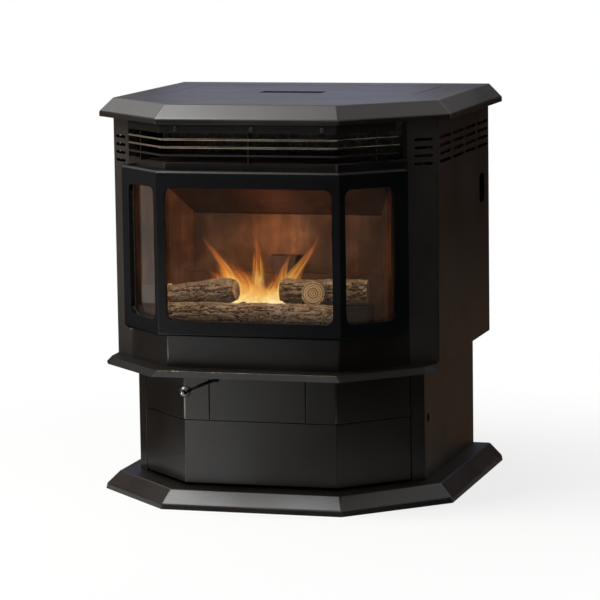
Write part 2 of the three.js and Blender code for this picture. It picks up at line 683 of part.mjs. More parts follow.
// The hood that turns the pellets down into the firepot, narrower below, open at the rear and below.
function feedChute() {
  const wall = FIREBOX.back - PLATE - LINER.thin - 2 * GAP;
  const { foot, half, front, nose, z0, z1 } = CHUTE;
  const hood = (by, back, low) => {
    const ring = (reach, nearest) => rectangle([by - reach, reach - by], [nearest + by, back]);
    return loft([ring(foot, front), low], [ring(half, front + nose), z1 - by]);
  };
  return cut(hood(0, wall, z0), hood(SHEET, wall + 10, z0 - 1));
}

function firepot() {
  const { half, y, z0, rim } = FIREPOT;
  const x = [-half, half];
  const floorTop = FIREBOX.z0 + PLATE + GAP;
  const body = block(x, y, [z0, rim]);
  const collar = block(inset(x, -12), inset(y, -12), [floorTop, floorTop + 4]);
  const lip = block(inset(x, -3), inset(y, -3), [rim - 7, rim]);
  const bore = loft([rectangle(inset(x, 8), inset(y, 8)), z0 - 1], [rectangle(inset(x, 4), inset(y, 4)), rim + 1]);
  const airHoles = [-36, -12, 12, 36].map((across) => bar('y', 3.5, -FAR, FAR, 8).translate(across, 0, 366));
  return cut(join(body, collar, lip), bore, ...airHoles);
}

// A plate round the firepot with two folded rests for the rear logs and two lugs for the front one.
function logGrate() {
  const z0 = FIREBOX.z0 + PLATE + GAP;
  const { y, left, right, lug, plate } = LOG_REST;
  const rest = (x, top) =>
    cut(block(x, y, [z0, top]), block(inset(x, -5), inset(y, PLATE), [z0 + plate, top - PLATE]));
  const stop = (x) => block([x - 11, x + 11], [-232, -206], [z0, lug]);
  const pot = block(inset([-FIREPOT.half, FIREPOT.half], -13), inset(FIREPOT.y, -13), [z0 - 10, z0 + 10]);
  const base = common(block([-240, 240], [-250, y[1] + 2], [z0, z0 + plate]), insideFirebox());
  return join(cut(base, pot), rest([-205, -80], left), rest([80, 205], right), stop(-140), stop(90));
}

// A ceramic log: rings along a curve, roughened by a few sine waves, with sawn ends.
function logBody(points, [thin, thick], seed) {
  const curve = new THREE.CatmullRomCurve3(points.map((p) => new THREE.Vector3(...p)));
  const [rings, sides] = [14, 12];
  const frames = curve.computeFrenetFrames(rings, false);
  const corners = [];
  for (let i = 0; i <= rings; i += 1) {
    const centre = curve.getPointAt(i / rings);
    for (let k = 0; k < sides; k += 1) {
      const angle = (2 * Math.PI * k) / sides;
      const ripple = 0.05 * Math.sin(3 * angle + seed + i * 0.7);
      const swell = 0.04 * Math.sin(5 * seed + i * 1.9 + 2 * angle);
      const reach = (thin + ((thick - thin) * i) / rings) * (1 + ripple + swell);
      const across = frames.normals[i].clone().multiplyScalar(Math.cos(angle) * reach);
      const upward = frames.binormals[i].clone().multiplyScalar(Math.sin(angle) * reach);
      corners.push(centre.clone().add(across).add(upward));
    }
  }
  return ringedSolid(corners, sides);
}

function logs() {
  piece('log_left', logBody([[-206, -142, 400], [-130, -146, 408], [-64, -152, 417]], [20, 26], 1.3), ceramic);
  const trunk = logBody([[26, -164, 418], [110, -152, 418], [200, -140, 416]], [25, 25], 2.1);
  const branch = logBody([[96, -152, 416], [101, -176, 418], [105, -201, 420.5]], [22, 23.5], 4.2);
  piece('log_right', join(trunk, branch), ceramic);
  piece('log_front', logBody([[-190, -217, 376], [-30, -224, 375.5], [158, -217, 376]], [24, 24], 3.4), ceramic);
}

// Two side walls and a back that carry the firebox, with bars under the firepot's floor.
function fireboxStand() {
  const { half, y } = STAND;
  const path = [[half, y[0]], [half, y[1]], [-half, y[1]], [-half, y[0]]];
  const walls = foldedSheet(path, SHEET, FLOOR.z + GAP, FIREBOX.z0 - GAP);
  const top = FIREPOT.z0 - PLATE - 0.4 - GAP;
  const bars = [-140, -75].map((barY) => block([-58, half - 1], [barY, barY + 6], [top - 4, top]));
  return join(walls, ...bars);
}

// ---------------------------------------------------------------- door

// The door's three windows as cutters, drawn larger all round by a margin.
function windowCutters(margin) {
  const middle = (WINDOW.z0 + WINDOW.z1) / 2;
  const height = WINDOW.z1 - WINDOW.z0 + 2 * margin;
  const hole = (width, x) => {
    return roundedBar(width + 2 * margin, height, WINDOW.round + margin, [-10, 30]).translate(x, 0, middle);
  };
  const centre = (WINDOW.sideTo + WINDOW.sideFrom) / 2;
  const side = (sign) => ontoSide(hole(WINDOW.sideTo - WINDOW.sideFrom, sign * centre), DOOR, sign);
  return [hole(2 * WINDOW.half, 0).translate(0, DOOR.front, 0), side(-1), side(1)];
}

function doorFrame() {
  const { z0, z1, skin, depth, edge } = DOOR;
  const tray = bayTray(DOOR, skin, skin, depth, [z0, z1]);
  const full = { ...DOOR, back: -120 };
  const soft = bayPlan(shrink(full, edge));
  const envelope = loft([soft, z0], [bayPlan(full), z0 + edge], [bayPlan(full), z1 - edge], [soft, z1]);
  const [x, y] = fromLeftEdge(DOOR, DOOR_AXIS.along, DOOR_AXIS.inward);
  const pin = (from, to) => bar('z', DOOR_AXIS.pin, from, to, 12).translate(x, y, 0);
  const frame = cut(common(tray, envelope), ...windowCutters(0));
  return join(frame, pin(z0 - 4.5, z0 + 1), pin(z1 - 1, z1 + 4.5));
}

function doorGlass() {
  const { depth, thickness, margin } = GLASS;
  const y = [depth, depth + thickness];
  const z = inset([WINDOW.z0, WINDOW.z1], -margin);
  const front = block(inset([-WINDOW.half, WINDOW.half], -6), y, z).translate(0, DOOR.front, 0);
  const [from, to] = [WINDOW.sideFrom - 1, WINDOW.sideTo + margin];
  piece('glass_front', front, smokedGlass);
  piece('glass_left', ontoSide(block([-to, -from], y, z), DOOR, -1), smokedGlass);
  piece('glass_right', ontoSide(block([from, to], y, z), DOOR, 1), smokedGlass);
}

// One felt between the frame and the three glasses.
function glassGasket() {
  const [from, to] = [DOOR.skin + GAP, GLASS.depth - GAP];
  const z = inset([WINDOW.z0, WINDOW.z1], -6);
  const felt = foldedSheet(bayPath(behind(DOOR, from, 22)), to - from, ...z);
  return cut(felt, ...windowCutters(0.5));
}

// The tray screwed into the frame behind the three glasses, its rim round their edges.
function glassRetainer() {
  const from = DOOR.skin + GAP;
  const to = GLASS.depth + GLASS.thickness + GAP;
  const wall = 1.5;
  const clear = 0.4;
  const z = inset([WINDOW.z0, WINDOW.z1], -GLASS.margin - clear);
  const end = (DOOR.half - DOOR.crease) / DIAGONAL - WINDOW.sideTo - GLASS.margin - clear;
  const outside = foldedSheet(bayPath(behind(DOOR, from, end - wall)), to - from + wall, ...inset(z, -wall));
  const pocket = foldedSheet(bayPath(behind(DOOR, from - 5, end)), to - from + 5, ...z);
  return cut(outside, pocket, ...windowCutters(1));
}

// Rope round the back of the door, which seals against the front face.
function doorGasket() {
  const start = DOOR.depth + GAP;
  const ring = foldedSheet(bayPath(behind(DOOR, start, 3)), 3.4, DOOR.z0 + 2.5, DOOR.z1 - 2.5);
  return cut(ring, foldedSheet(bayPath(behind(DOOR, start - 5, 9)), 20, DOOR.z0 + 8.5, DOOR.z1 - 8.5));
}

// ---------------------------------------------------------------- firepot clean-out

function rodX(y) {
  return ROD.x + (y - ROD.y) * Math.tan((ROD.splay * Math.PI) / 180);
}

// Places a piece drawn along +Y from the knob's centre onto the pull rod.
function onRod(geometry) {
  return geometry.rotateZ((-ROD.splay * Math.PI) / 180).translate(ROD.x, ROD.y, ROD.z);
}

function cleanoutRod() {
  const length = (ROD.innerY - ROD.y) / Math.cos((ROD.splay * Math.PI) / 180);
  const rod = bar('y', ROD.radius, ROD.knob * 0.55, length, 16);
  const collar = bar('y', ROD.radius + 1.3, ROD.knob + 0.4, ROD.knob + 12, 16);
  return onRod(join(rod, collar));
}

function cleanoutKnob() {
  const ball = new THREE.SphereGeometry(ROD.knob, 20, 14);
  return onRod(cut(ball, bar('y', ROD.radius + GAP, 5, 20, 16)));
}

// The sliding firepot floor and the strap that joins it to the rod.
function firepotSlide() {
  const x = rodX(ROD.innerY);
  const top = FIREPOT.z0 - 0.4;
  const plate = block([x - 8, FIREPOT.half - 2], inset(FIREPOT.y, 2), [top - PLATE, top]);
  const strapY = ROD.innerY + 0.8;
  const strap = block([x - 8, x + 8], [strapY, strapY + PLATE], [ROD.z - 8, top - 1]);
  return join(plate, strap);
}

// ---------------------------------------------------------------- pellet feed

// Places a piece drawn along +Y from the firebox wall onto the feed axis, which falls to the rear.
function onAuger(geometry) {
  return geometry.rotateX((-AUGER.tilt * Math.PI) / 180).translate(0, FIREBOX.back, AUGER.z);
}

function augerBar(radius, from, to, sides = 24) {
  return onAuger(bar('y', radius, from, to, sides));
}

function augerTube() {
  const { tube, bore, length, shaft } = AUGER;
  const ahead = block([-60, 60], [-80, FIREBOX.back + GAP], [380, 540]);
  const throat = onAuger(block([-15, 15], [163, 212], [5, 60]));
  const shaftHole = augerBar(shaft + 0.6, length - 20, length + 20, 16);
  return cut(augerBar(tube, -30, length), augerBar(bore, -60, length - 6), ahead, throat, shaftHole);
}

// The screw: a helical flight wound round a shaft that runs back into the gearbox.
function augerScrew() {
  const [from, to] = [16, AUGER.length - 12];
  const turns = (to - from) / AUGER.pitch;
  const steps = Math.round(turns * 16);
  const root = AUGER.shaft - 1.5;
  const section = [[root, 0], [root, 2.4], [AUGER.flight, 2.4], [AUGER.flight, 0]];
  const corners = [];
  for (let i = 0; i <= steps; i += 1) {
    const angle = (i / steps) * turns * 2 * Math.PI;
    const along = from + (i / steps) * (to - from);
    for (const [r, lift] of section) {
      corners.push(new THREE.Vector3(r * Math.cos(angle), along + lift, -r * Math.sin(angle)));
    }
  }
  const shaft = bar('y', AUGER.shaft, 8, AUGER.length + 12, 16);
  return onAuger(join(shaft, ringedSolid(corners, section.length)));
}

function augerMotor() {
  const start = AUGER.length + GAP;
  const gearbox = block([-36, 36], [start, start + 40], [-44, 30]);
  const can = bar('y', 26, start + 38, start + 84, 20).translate(0, 0, -8);
  return onAuger(cut(join(gearbox, can), bar('y', AUGER.shaft + 0.5, start - 5, start + 14, 16)));
}

// ---------------------------------------------------------------- blowers

// The [y, z] outline of a scroll that widens round the wheel into a straight outlet towards +Y.
function scrollOutline({ wheel, throat, wall }, grow, reach) {
  const [steps, clearance] = [18, 5];
  const points = [];
  for (let i = 0; i <= steps; i += 1) {
    const angle = (1.5 * Math.PI * i) / steps;
    const r = wheel + clearance + (throat * i) / steps + grow;
    points.push([r * Math.cos(angle), r * Math.sin(angle)]);
  }
  const bottom = -(wheel + clearance + throat + grow);
  const lid = grow - 8 - wall;
  return [...points, [reach, bottom], [reach, lid], [wheel + clearance + grow, lid]];
}

// A sheet scroll with its inlet away from the motor and a shaft hole beside it.
function scrollHousing(blower, motorSide) {
  const { wheel, width, wall, reach } = blower;
  const half = width / 2;
  const outside = runAlongX(scrollOutline(blower, wall, reach), -half - wall, half + wall);
  const inside = runAlongX(scrollOutline(blower, 0, reach + 5), -half, half);
  const inlet = bar('x', wheel * 0.62, 0, -motorSide * FAR);
  const shaftHole = bar('x', 8, 0, motorSide * FAR, 16);
  return cut(outside, inside, inlet, shaftHole);
}

// Two legs from the cabinet's floor up into the scroll, at the [y, top] that the blower lists.
function blowerLegs({ width, z, legs }) {
  const legX = inset([-width / 2, width / 2], 4);
  return join(...legs.map(([y, top]) => block(legX, [y - 2, y + 2], [FLOOR.z + GAP - z, top])));
}

// A wheel of radial blades between a back disc and an inlet ring, on a shaft towards its motor.
function blowerWheel({ wheel, width, blades: count, root }, motorSide) {
  const half = width / 2 - 5;
  const [motorEnd, inletEnd] = [motorSide * half, -motorSide * half];
  const disc = bar('x', wheel, motorEnd, motorEnd - motorSide * 2);
  const ring = cut(bar('x', wheel, inletEnd, inletEnd + motorSide * 2), bar('x', root, -FAR, FAR));
  const hub = bar('x', 10, motorEnd, motorEnd - motorSide * 16, 12);
  const shaft = bar('x', 4, motorEnd - motorSide * 2, motorEnd + motorSide * 22, 12);
  const blades = Array.from({ length: count }, (_, k) =>
    block([-half, half], [-0.8, 0.8], [root - 1, wheel - 1]).rotateX((2 * Math.PI * (k + 0.5)) / count),
  );
  return join(disc, ring, hub, shaft, ...blades);
}

function blowerMotor({ width, wall }, motorSide) {
  const start = width / 2 + wall + GAP;
  const can = bar('x', BLOWER_MOTOR.radius, motorSide * start, motorSide * (start + BLOWER_MOTOR.length));
  return cut(can, bar('x', 4.6, motorSide * (start - 5), motorSide * (start + 20), 12));
}

function onBlower(blower, geometry) {
  return geometry.translate(blower.x, blower.y, blower.z);
}

// The box duct from the hole low in the firebox's rear wall to the exhaust blower's inlet.
function exhaustDuct() {
  const { wall, outer, inner, bend, rear } = DUCT;
  const side = EXHAUST.x - EXHAUST.width / 2 - EXHAUST.wall - GAP;
  const front = { x: [outer, inner], y: [FIREBOX.back + GAP, bend], z: [350, 420] };
  const long = { x: [outer, side], y: [bend - 2 * wall, rear], z: [320, 402] };
  const box = ({ x, y, z }, by) => block(inset(x, by), inset(y, by), inset(z, by));
  const link = block(inset([outer, side], wall), [bend - 10, bend + 10], [350 + wall, 402 - wall]);
  const inlet = bar('x', EXHAUST.wheel * 0.62, side - 10, side + 10).translate(0, EXHAUST.y, EXHAUST.z);
  return cut(join(box(front, 0), box(long, 0)), box(front, wall), box(long, wall), link, inlet, smokeHole());
}

function flueCollar() {
  const { radius, wall, drop, end, flange } = FLUE;
  const start = EXHAUST.y + EXHAUST.reach + GAP;
  const plate = block([-flange, flange], [start, start + PLATE], [-flange, flange]);
  const pipe = bar('y', radius, start + 1, end, 32);
  const bore = bar('y', radius - wall, start + PLATE, end + 10, 32);
  const opening = bar('y', 26, start - 5, start + 20);
  return cut(join(plate, pipe), bore, opening).translate(EXHAUST.x, 0, EXHAUST.z - drop);
}

function airIntake() {
  const pipe = bar('y', INTAKE.radius, ...INTAKE.y);
  const flange = bar('y', INTAKE.radius + 9, REAR.y0 - GAP - PLATE, REAR.y0 - GAP);
  const bore = bar('y', INTAKE.radius - INTAKE.wall, -FAR, FAR);
  return cut(join(pipe, flange), bore).translate(INTAKE.x, 0, INTAKE.z);
}

// The cover over the controls, open below, with the mains inlet through the rear panel.
function controlBox() {
  const wall = 1.5;
  const cavity = block(inset(CONTROL.x, wall), inset(CONTROL.y, wall), [CONTROL.z[0] - 5, CONTROL.z[1] - wall]);
  const cover = cut(block(CONTROL.x, CONTROL.y, CONTROL.z), cavity);
  const { x, z, width, height, end } = INLET;
  const socket = around(x, z, width, height, [end - 27, end]);
  const recess = around(x, z, width - 8, height - 8, [end - 15, end + 5]);
  const contact = (across) => around(x + across, z, 2, 6, [end - 16, end - 7]);
  return join(cut(join(cover, socket), recess), contact(-7), contact(0), contact(7));
}

// ---------------------------------------------------------------- the stove

piece('base_plate', basePlate(), black);
piece('pedestal_shell', pedestalShell(), black);
pedestalBands();
piece('pedestal_crossrail', pedestalCrossrail(), black);
piece('ash_door', ashDoor(), black);
piece('ash_pan', ashPan(), bareSteel);

piece('cabinet_floor', cabinetFloor(), black);
piece('ash_shelf', ashShelf(), black);
piece('front_face', frontFace(), black);
piece('pillar_right', rightPillar(), black);
piece('pillar_left', mirrorX(rightPillar()), black);
piece('side_panel_right', rightSidePanel(), black);
piece('side_panel_left', mirrorX(rightSidePanel()), black);
piece('rear_panel', rearPanel(), black);

piece('top_plate', topPlate(), black);
piece('lid_hinge_left', lidHinge(LID_HINGE.centres[0]), bareSteel);
piece('lid_hinge_right', lidHinge(LID_HINGE.centres[1]), bareSteel);
piece('hopper_lid', hopperLid(), black);
piece('lid_pull_cup', lidPullCup(), black);
piece('hopper', hopper(), galvanised);

piece('header', header(), black);
piece('slat_upper', slat(SLATS[0]), bright);
piece('slat_middle', slat(SLATS[1]), bright);
piece('slat_lower', slat(SLATS[2]), black);
piece('grille_rack', grilleRack(), black);

piece('firebox', fireboxShell(), bareSteel);
piece('firebox_liner', fireboxLiner(), bareSteel);
piece('baffle', baffle(), bareSteel);
piece('feed_chute', feedChute(), bareSteel);
piece('firepot', firepot(), castIron);
piece('log_grate', logGrate(), castIron);
logs();
piece('firebox_stand', fireboxStand(), bareSteel);

piece('door_frame', doorFrame(), doorBlack);
doorGlass();
piece('glass_gasket', glassGasket(), rope);
piece('glass_retainer', glassRetainer(), bareSteel);
piece('door_gasket', doorGasket(), rope);

piece('cleanout_rod', cleanoutRod(), bareSteel);
piece('cleanout_knob', cleanoutKnob(), phenolic);
piece('firepot_slide', firepotSlide(), bareSteel);

piece('auger_tube', augerTube(), bareSteel);
piece('auger_screw', augerScrew(), bareSteel);
piece('auger_motor', augerMotor(), black);

const exhaustScroll = join(scrollHousing(EXHAUST, 1), blowerLegs(EXHAUST));
piece('exhaust_housing', onBlower(EXHAUST, exhaustScroll), galvanised);
piece('exhaust_impeller', onBlower(EXHAUST, blowerWheel(EXHAUST, 1)), galvanised);
piece('exhaust_motor', onBlower(EXHAUST, blowerMotor(EXHAUST, 1)), black);
piece('exhaust_duct', exhaustDuct(), galvanised);
piece('flue_collar', flueCollar(), bareSteel);

const uprightScroll = scrollHousing(CONVECTION, -1).rotateX(Math.PI);
const convectionScroll = join(uprightScroll, blowerLegs(CONVECTION));
piece('convection_housing', onBlower(CONVECTION, convectionScroll), galvanised);
piece('convection_wheel', onBlower(CONVECTION, blowerWheel(CONVECTION, -1)), galvanised);
piece('convection_motor', onBlower(CONVECTION, blowerMotor(CONVECTION, -1)), black);

piece('air_intake', airIntake(), bareSteel);
piece('control_box', controlBox(), black);

export default stove;
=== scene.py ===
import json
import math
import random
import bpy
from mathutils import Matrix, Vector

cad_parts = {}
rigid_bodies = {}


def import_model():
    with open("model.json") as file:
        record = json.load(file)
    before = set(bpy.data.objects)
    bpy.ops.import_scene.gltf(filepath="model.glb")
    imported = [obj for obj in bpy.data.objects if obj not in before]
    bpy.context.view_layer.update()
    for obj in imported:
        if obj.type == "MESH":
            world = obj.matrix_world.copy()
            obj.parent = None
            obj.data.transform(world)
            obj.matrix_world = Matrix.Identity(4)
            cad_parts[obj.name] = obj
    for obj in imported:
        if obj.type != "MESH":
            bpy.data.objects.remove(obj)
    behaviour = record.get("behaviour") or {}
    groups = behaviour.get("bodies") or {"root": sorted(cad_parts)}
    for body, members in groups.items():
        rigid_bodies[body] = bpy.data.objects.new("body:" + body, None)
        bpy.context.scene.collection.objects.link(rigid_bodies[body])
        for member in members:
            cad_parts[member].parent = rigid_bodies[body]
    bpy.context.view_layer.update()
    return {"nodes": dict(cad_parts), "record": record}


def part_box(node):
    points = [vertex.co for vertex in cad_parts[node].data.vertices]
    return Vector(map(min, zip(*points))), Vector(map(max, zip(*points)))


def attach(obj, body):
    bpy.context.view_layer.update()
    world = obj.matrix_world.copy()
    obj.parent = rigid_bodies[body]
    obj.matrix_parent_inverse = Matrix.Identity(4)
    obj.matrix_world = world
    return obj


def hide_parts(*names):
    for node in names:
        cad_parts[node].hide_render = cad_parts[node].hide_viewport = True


bl_info = {
    "name": "Pellet stove",
    "version": (1, 0, 0),
    "blender": (4, 5, 0),
    "location": "3D View > Sidebar > Stove",
    "description": "Dresses a bay-front pellet stove: rounded sheet steel, glass, logs, fire and studio",
    "category": "Object",
}

import bmesh
import bpy
from bpy.props import FloatProperty, FloatVectorProperty, IntProperty, PointerProperty
from mathutils import Matrix, Vector, noise

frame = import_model()
NODES = frame["nodes"]
RECORD = frame["record"]
BODY_OF = {node: body for body, nodes in RECORD["behaviour"]["bodies"].items() for node in nodes}
MM = 0.001
BROAD = 3.5 * MM  # faces of painted sheet that are at least this wide are shaded flat


# ---------------------------------------------------------------- colours and nodes


def linear(code):
    """An sRGB hex colour as the linear values that shaders take."""
    channels = [int(code[i : i + 2], 16) / 255 for i in (1, 3, 5)]
    return [c / 12.92 if c <= 0.04045 else ((c + 0.055) / 1.055) ** 2.4 for c in channels] + [1.0]


def add(tree, kind, inputs=(), stops=(), **settings):
    """Adds a node. Inputs are (socket, value) pairs, and a value that is a socket is linked.
    Stops are the (position, colour) pairs of a ramp, each colour a hex code or a plain grey value."""
    node = tree.nodes.new(kind)
    for name, value in settings.items():
        setattr(node, name, value)
    for socket, value in inputs:
        if isinstance(value, bpy.types.NodeSocket):
            tree.links.new(value, node.inputs[socket])
        else:
            node.inputs[socket].default_value = value
    if stops:
        elements = node.color_ramp.elements
        while len(elements) < len(stops):
            elements.new(0.5)
        for element, (position, colour) in zip(elements, stops):
            element.position = position
            element.color = linear(colour) if isinstance(colour, str) else (colour, colour, colour, 1)
    return node


def new_material(name):
    """An empty material, its tree, and the Object coordinates that its patterns lie on."""
    material = bpy.data.materials.new(name)
    material.use_nodes = True
    tree = material.node_tree
    tree.nodes.clear()
    return material, tree, add(tree, "ShaderNodeTexCoord").outputs["Object"]


def finish_material(tree, shader):
    tree.links.new(shader.outputs[0], add(tree, "ShaderNodeOutputMaterial").inputs["Surface"])


# ---------------------------------------------------------------- materials


def satin_stove_paint(name, dark, light, roughness, specular):
    """High-temperature silicone paint on sheet steel, sprayed and baked. It gives the eye a deep
    satin black with soft broad highlights and a fine dry grain. The grain is about 0.1 mm across
    on a real stove, and is drawn 1.5 mm across so that it shows."""
    material, tree, place = new_material(name)
    grain = add(tree, "ShaderNodeTexNoise", [("Vector", place), ("Scale", 650.0), ("Detail", 3.0)])
    cloud = add(
        tree, "ShaderNodeTexNoise", [("Vector", place), ("Scale", 6.0), ("Detail", 5.0), ("Roughness", 0.6)]
    )
    speck = add(
        tree, "ShaderNodeMath", [(0, grain.outputs["Fac"]), (1, cloud.outputs["Fac"])], operation="MULTIPLY"
    )
    tint = add(tree, "ShaderNodeValToRGB", [("Fac", speck.outputs[0])], stops=[(0.12, dark), (0.42, light)])
    rough = add(
        tree,
        "ShaderNodeMapRange",
        [("Value", cloud.outputs["Fac"]), ("From Min", 0.3), ("From Max", 0.7)]
        + [("To Min", roughness - 0.04), ("To Max", roughness + 0.06)],
    )
    bump = add(
        tree, "ShaderNodeBump", [("Height", grain.outputs["Fac"]), ("Distance", 0.00025), ("Strength", 0.35)]
    )
    shader = add(
        tree,
        "ShaderNodeBsdfPrincipled",
        [("Base Color", tint.outputs["Color"]), ("Roughness", rough.outputs["Result"])]
        + [("Normal", bump.outputs["Normal"]), ("Specular IOR Level", specular)],
    )
    finish_material(tree, shader)
    return material


def nickel_plate():
    """Nickel plate on rolled steel slats. Its rolling lines run along each slat, 0.3 mm apart, so
    highlights stretch along it, with a warm tint from the heat."""
    material, tree, place = new_material("nickel_plate_on_slats")
    along = add(tree, "ShaderNodeMapping", [("Vector", place), ("Scale", (8.0, 60.0, 3000.0))])
    lines = add(
        tree, "ShaderNodeTexNoise", [("Vector", along.outputs["Vector"]), ("Scale", 1.0), ("Detail", 3.0)]
    )
    heat = add(tree, "ShaderNodeTexNoise", [("Vector", place), ("Scale", 14.0), ("Detail", 3.0)])
    tint = add(
        tree,
        "ShaderNodeValToRGB",
        [("Fac", heat.outputs["Fac"])],
        stops=[(0.3, "#9a8a74"), (0.55, "#c6b9a4"), (0.75, "#a98f68")],
    )
    rough = add(
        tree, "ShaderNodeMapRange", [("Value", lines.outputs["Fac"]), ("To Min", 0.12), ("To Max", 0.34)]
    )
    bump = add(
        tree, "ShaderNodeBump", [("Height", lines.outputs["Fac"]), ("Distance", 0.00004), ("Strength", 0.4)]
    )
    shader = add(
        tree,
        "ShaderNodeBsdfPrincipled",
        [("Base Color", tint.outputs["Color"]), ("Roughness", rough.outputs["Result"])]
        + [("Normal", bump.outputs["Normal"]), ("Metallic", 1.0)],
    )
    finish_material(tree, shader)
    return material


def heat_browned_steel(name, soot, brown, bright, metallic=0.55):
    """Bare rolled steel that fire has browned. Oxide clouds 30 to 80 mm across run from soot to
    straw brown, with faint vertical streaks, and it keeps a dull sheen."""
    material, tree, place = new_material(name)
    cloud = add(
        tree, "ShaderNodeTexNoise", [("Vector", place), ("Scale", 9.0), ("Detail", 6.0), ("Roughness", 0.65)]
    )
    tall = add(tree, "ShaderNodeMapping", [("Vector", place), ("Scale", (70.0, 70.0, 5.0))])
    streak = add(
        tree, "ShaderNodeTexNoise", [("Vector", tall.outputs["Vector"]), ("Scale", 1.0), ("Detail", 4.0)]
    )
    both = add(
        tree,
        "ShaderNodeMix",
        [(0, 0.25), (2, cloud.outputs["Fac"]), (3, streak.outputs["Fac"])],
        data_type="FLOAT",
    )
    tint = add(
        tree,
        "ShaderNodeValToRGB",
        [("Fac", both.outputs["Result"])],
        stops=[(0.32, soot), (0.5, brown), (0.68, bright)],
    )
    rough = add(
        tree, "ShaderNodeMapRange", [("Value", cloud.outputs["Fac"]), ("To Min", 0.72), ("To Max", 0.42)]
    )
    grit = add(tree, "ShaderNodeTexNoise", [("Vector", place), ("Scale", 420.0), ("Detail", 4.0)])
    bump = add(
        tree, "ShaderNodeBump", [("Height", grit.outputs["Fac"]), ("Distance", 0.0003), ("Strength", 0.35)]
    )
    shader = add(
        tree,
        "ShaderNodeBsdfPrincipled",
        [("Base Color", tint.outputs["Color"]), ("Roughness", rough.outputs["Result"])]
        + [("Normal", bump.outputs["Normal"]), ("Metallic", metallic)],
    )
    finish_material(tree, shader)
    return material


def painted_crease_highlight():
    """Painted highlight along a fold of the sheet: one thin warm glowing streak that stands in for the light
    a rolled fold catches.
    """
    material, tree, _ = new_material("painted_crease_highlight")
    shader = add(
        tree,
        "ShaderNodeBsdfPrincipled",
        [
            ("Base Color", linear("#f0d6a0")),
            ("Metallic", 1.0),
            ("Roughness", 0.3),
            # The emission makes the streak glow as a painted highlight under any light.
            ("Emission Color", linear("#e8cf9a")),
            ("Emission Strength", 1.4),
        ],
    )
    finish_material(tree, shader)
    return material


def galvanised_sheet():
    """Hot-dip galvanised sheet. Zinc crystals about 9 mm across each catch the light differently."""
    material, tree, place = new_material("hot_dip_galvanised_sheet")
    warp = add(tree, "ShaderNodeTexNoise", [("Vector", place), ("Scale", 90.0), ("Detail", 2.0)])
    bent = add(
        tree,
        "ShaderNodeMix",
        [(0, 0.04), (4, place), (5, warp.outputs["Color"])],
        data_type="VECTOR",
    )
    crystal = add(tree, "ShaderNodeTexVoronoi", [("Vector", bent.outputs[1]), ("Scale", 110.0)])
    level = add(tree, "ShaderNodeSeparateColor", [("Color", crystal.outputs["Color"])])
    tint = add(
        tree,
        "ShaderNodeValToRGB",
        [("Fac", level.outputs["Red"])],
        stops=[(0.0, "#7d8184"), (0.5, "#95999b"), (1.0, "#b4b7b8")],
    )
    rough = add(
        tree, "ShaderNodeMapRange", [("Value", level.outputs["Green"]), ("To Min", 0.3), ("To Max", 0.52)]
    )
    shader = add(
        tree,
        "ShaderNodeBsdfPrincipled",
        [("Base Color", tint.outputs["Color"]), ("Roughness", rough.outputs["Result"]), ("Metallic", 1.0)],
    )
    finish_material(tree, shader)
    return material


def sand_cast_iron():
    """Sand-cast grey iron, sooty from the fire: a pitted 1.5 mm grain with grey ash in its hollows."""
    material, tree, place = new_material("sand_cast_iron")
    sand = add(tree, "ShaderNodeTexVoronoi", [("Vector", place), ("Scale", 620.0)])
    cloud = add(tree, "ShaderNodeTexNoise", [("Vector", place), ("Scale", 22.0), ("Detail", 5.0)])
    tint = add(
        tree,
        "ShaderNodeValToRGB",
        [("Fac", cloud.outputs["Fac"])],
        stops=[(0.35, "#191716"), (0.55, "#2e2a27"), (0.72, "#5d564e")],
    )
    bump = add(
        tree,
        "ShaderNodeBump",
        [("Height", sand.outputs["Distance"]), ("Distance", 0.0005), ("Strength", 0.6)],
    )
    shader = add(
        tree,
        "ShaderNodeBsdfPrincipled",
        [("Base Color", tint.outputs["Color"]), ("Normal", bump.outputs["Normal"])]
        + [("Roughness", 0.78), ("Metallic", 0.25)],
    )
    finish_material(tree, shader)
    return material


def smoky_ceramic_glass():
    """Glass-ceramic, drawn and polished, 4 mm thick. It is clear with a brown cast, and a thin
    smoke film clouds it in patches about 60 mm across."""
    material, tree, place = new_material("smoky_glass_ceramic")
    film = add(tree, "ShaderNodeTexNoise", [("Vector", place), ("Scale", 16.0), ("Detail", 4.0)])
    tint = add(
        tree,
        "ShaderNodeValToRGB",
        [("Fac", film.outputs["Fac"])],
        stops=[(0.35, "#d9c7b6"), (0.65, "#f0e6dc")],
    )
    rough = add(
        tree, "ShaderNodeMapRange", [("Value", film.outputs["Fac"]), ("To Min", 0.0), ("To Max", 0.035)]
    )
    shader = add(
        tree,
        "ShaderNodeBsdfPrincipled",
        [("Base Color", tint.outputs["Color"]), ("Roughness", rough.outputs["Result"])]
        + [("Transmission Weight", 1.0), ("IOR", 1.52)],
    )
    finish_material(tree, shader)
    return material


def glass_fibre_rope():
    """Knitted glass-fibre rope and felt: grey, matt, with a 3 mm knit that stands up in fuzzy rows."""
    material, tree, place = new_material("knitted_glass_fibre")
    knit = add(tree, "ShaderNodeTexVoronoi", [("Vector", place), ("Scale", 330.0)])
    tint = add(
        tree,
        "ShaderNodeValToRGB",
        [("Fac", knit.outputs["Distance"])],
        stops=[(0.0, "#6a6862"), (0.6, "#3a3936")],
    )
    bump = add(
        tree,
        "ShaderNodeBump",
        [("Height", knit.outputs["Distance"]), ("Distance", 0.0008), ("Strength", 0.8)],
        invert=True,
    )
    shader = add(
        tree,
        "ShaderNodeBsdfPrincipled",
        [("Base Color", tint.outputs["Color"]), ("Normal", bump.outputs["Normal"])]
        + [("Roughness", 0.95), ("Specular IOR Level", 0.2), ("Sheen Weight", 0.3)],
    )
    finish_material(tree, shader)
    return material


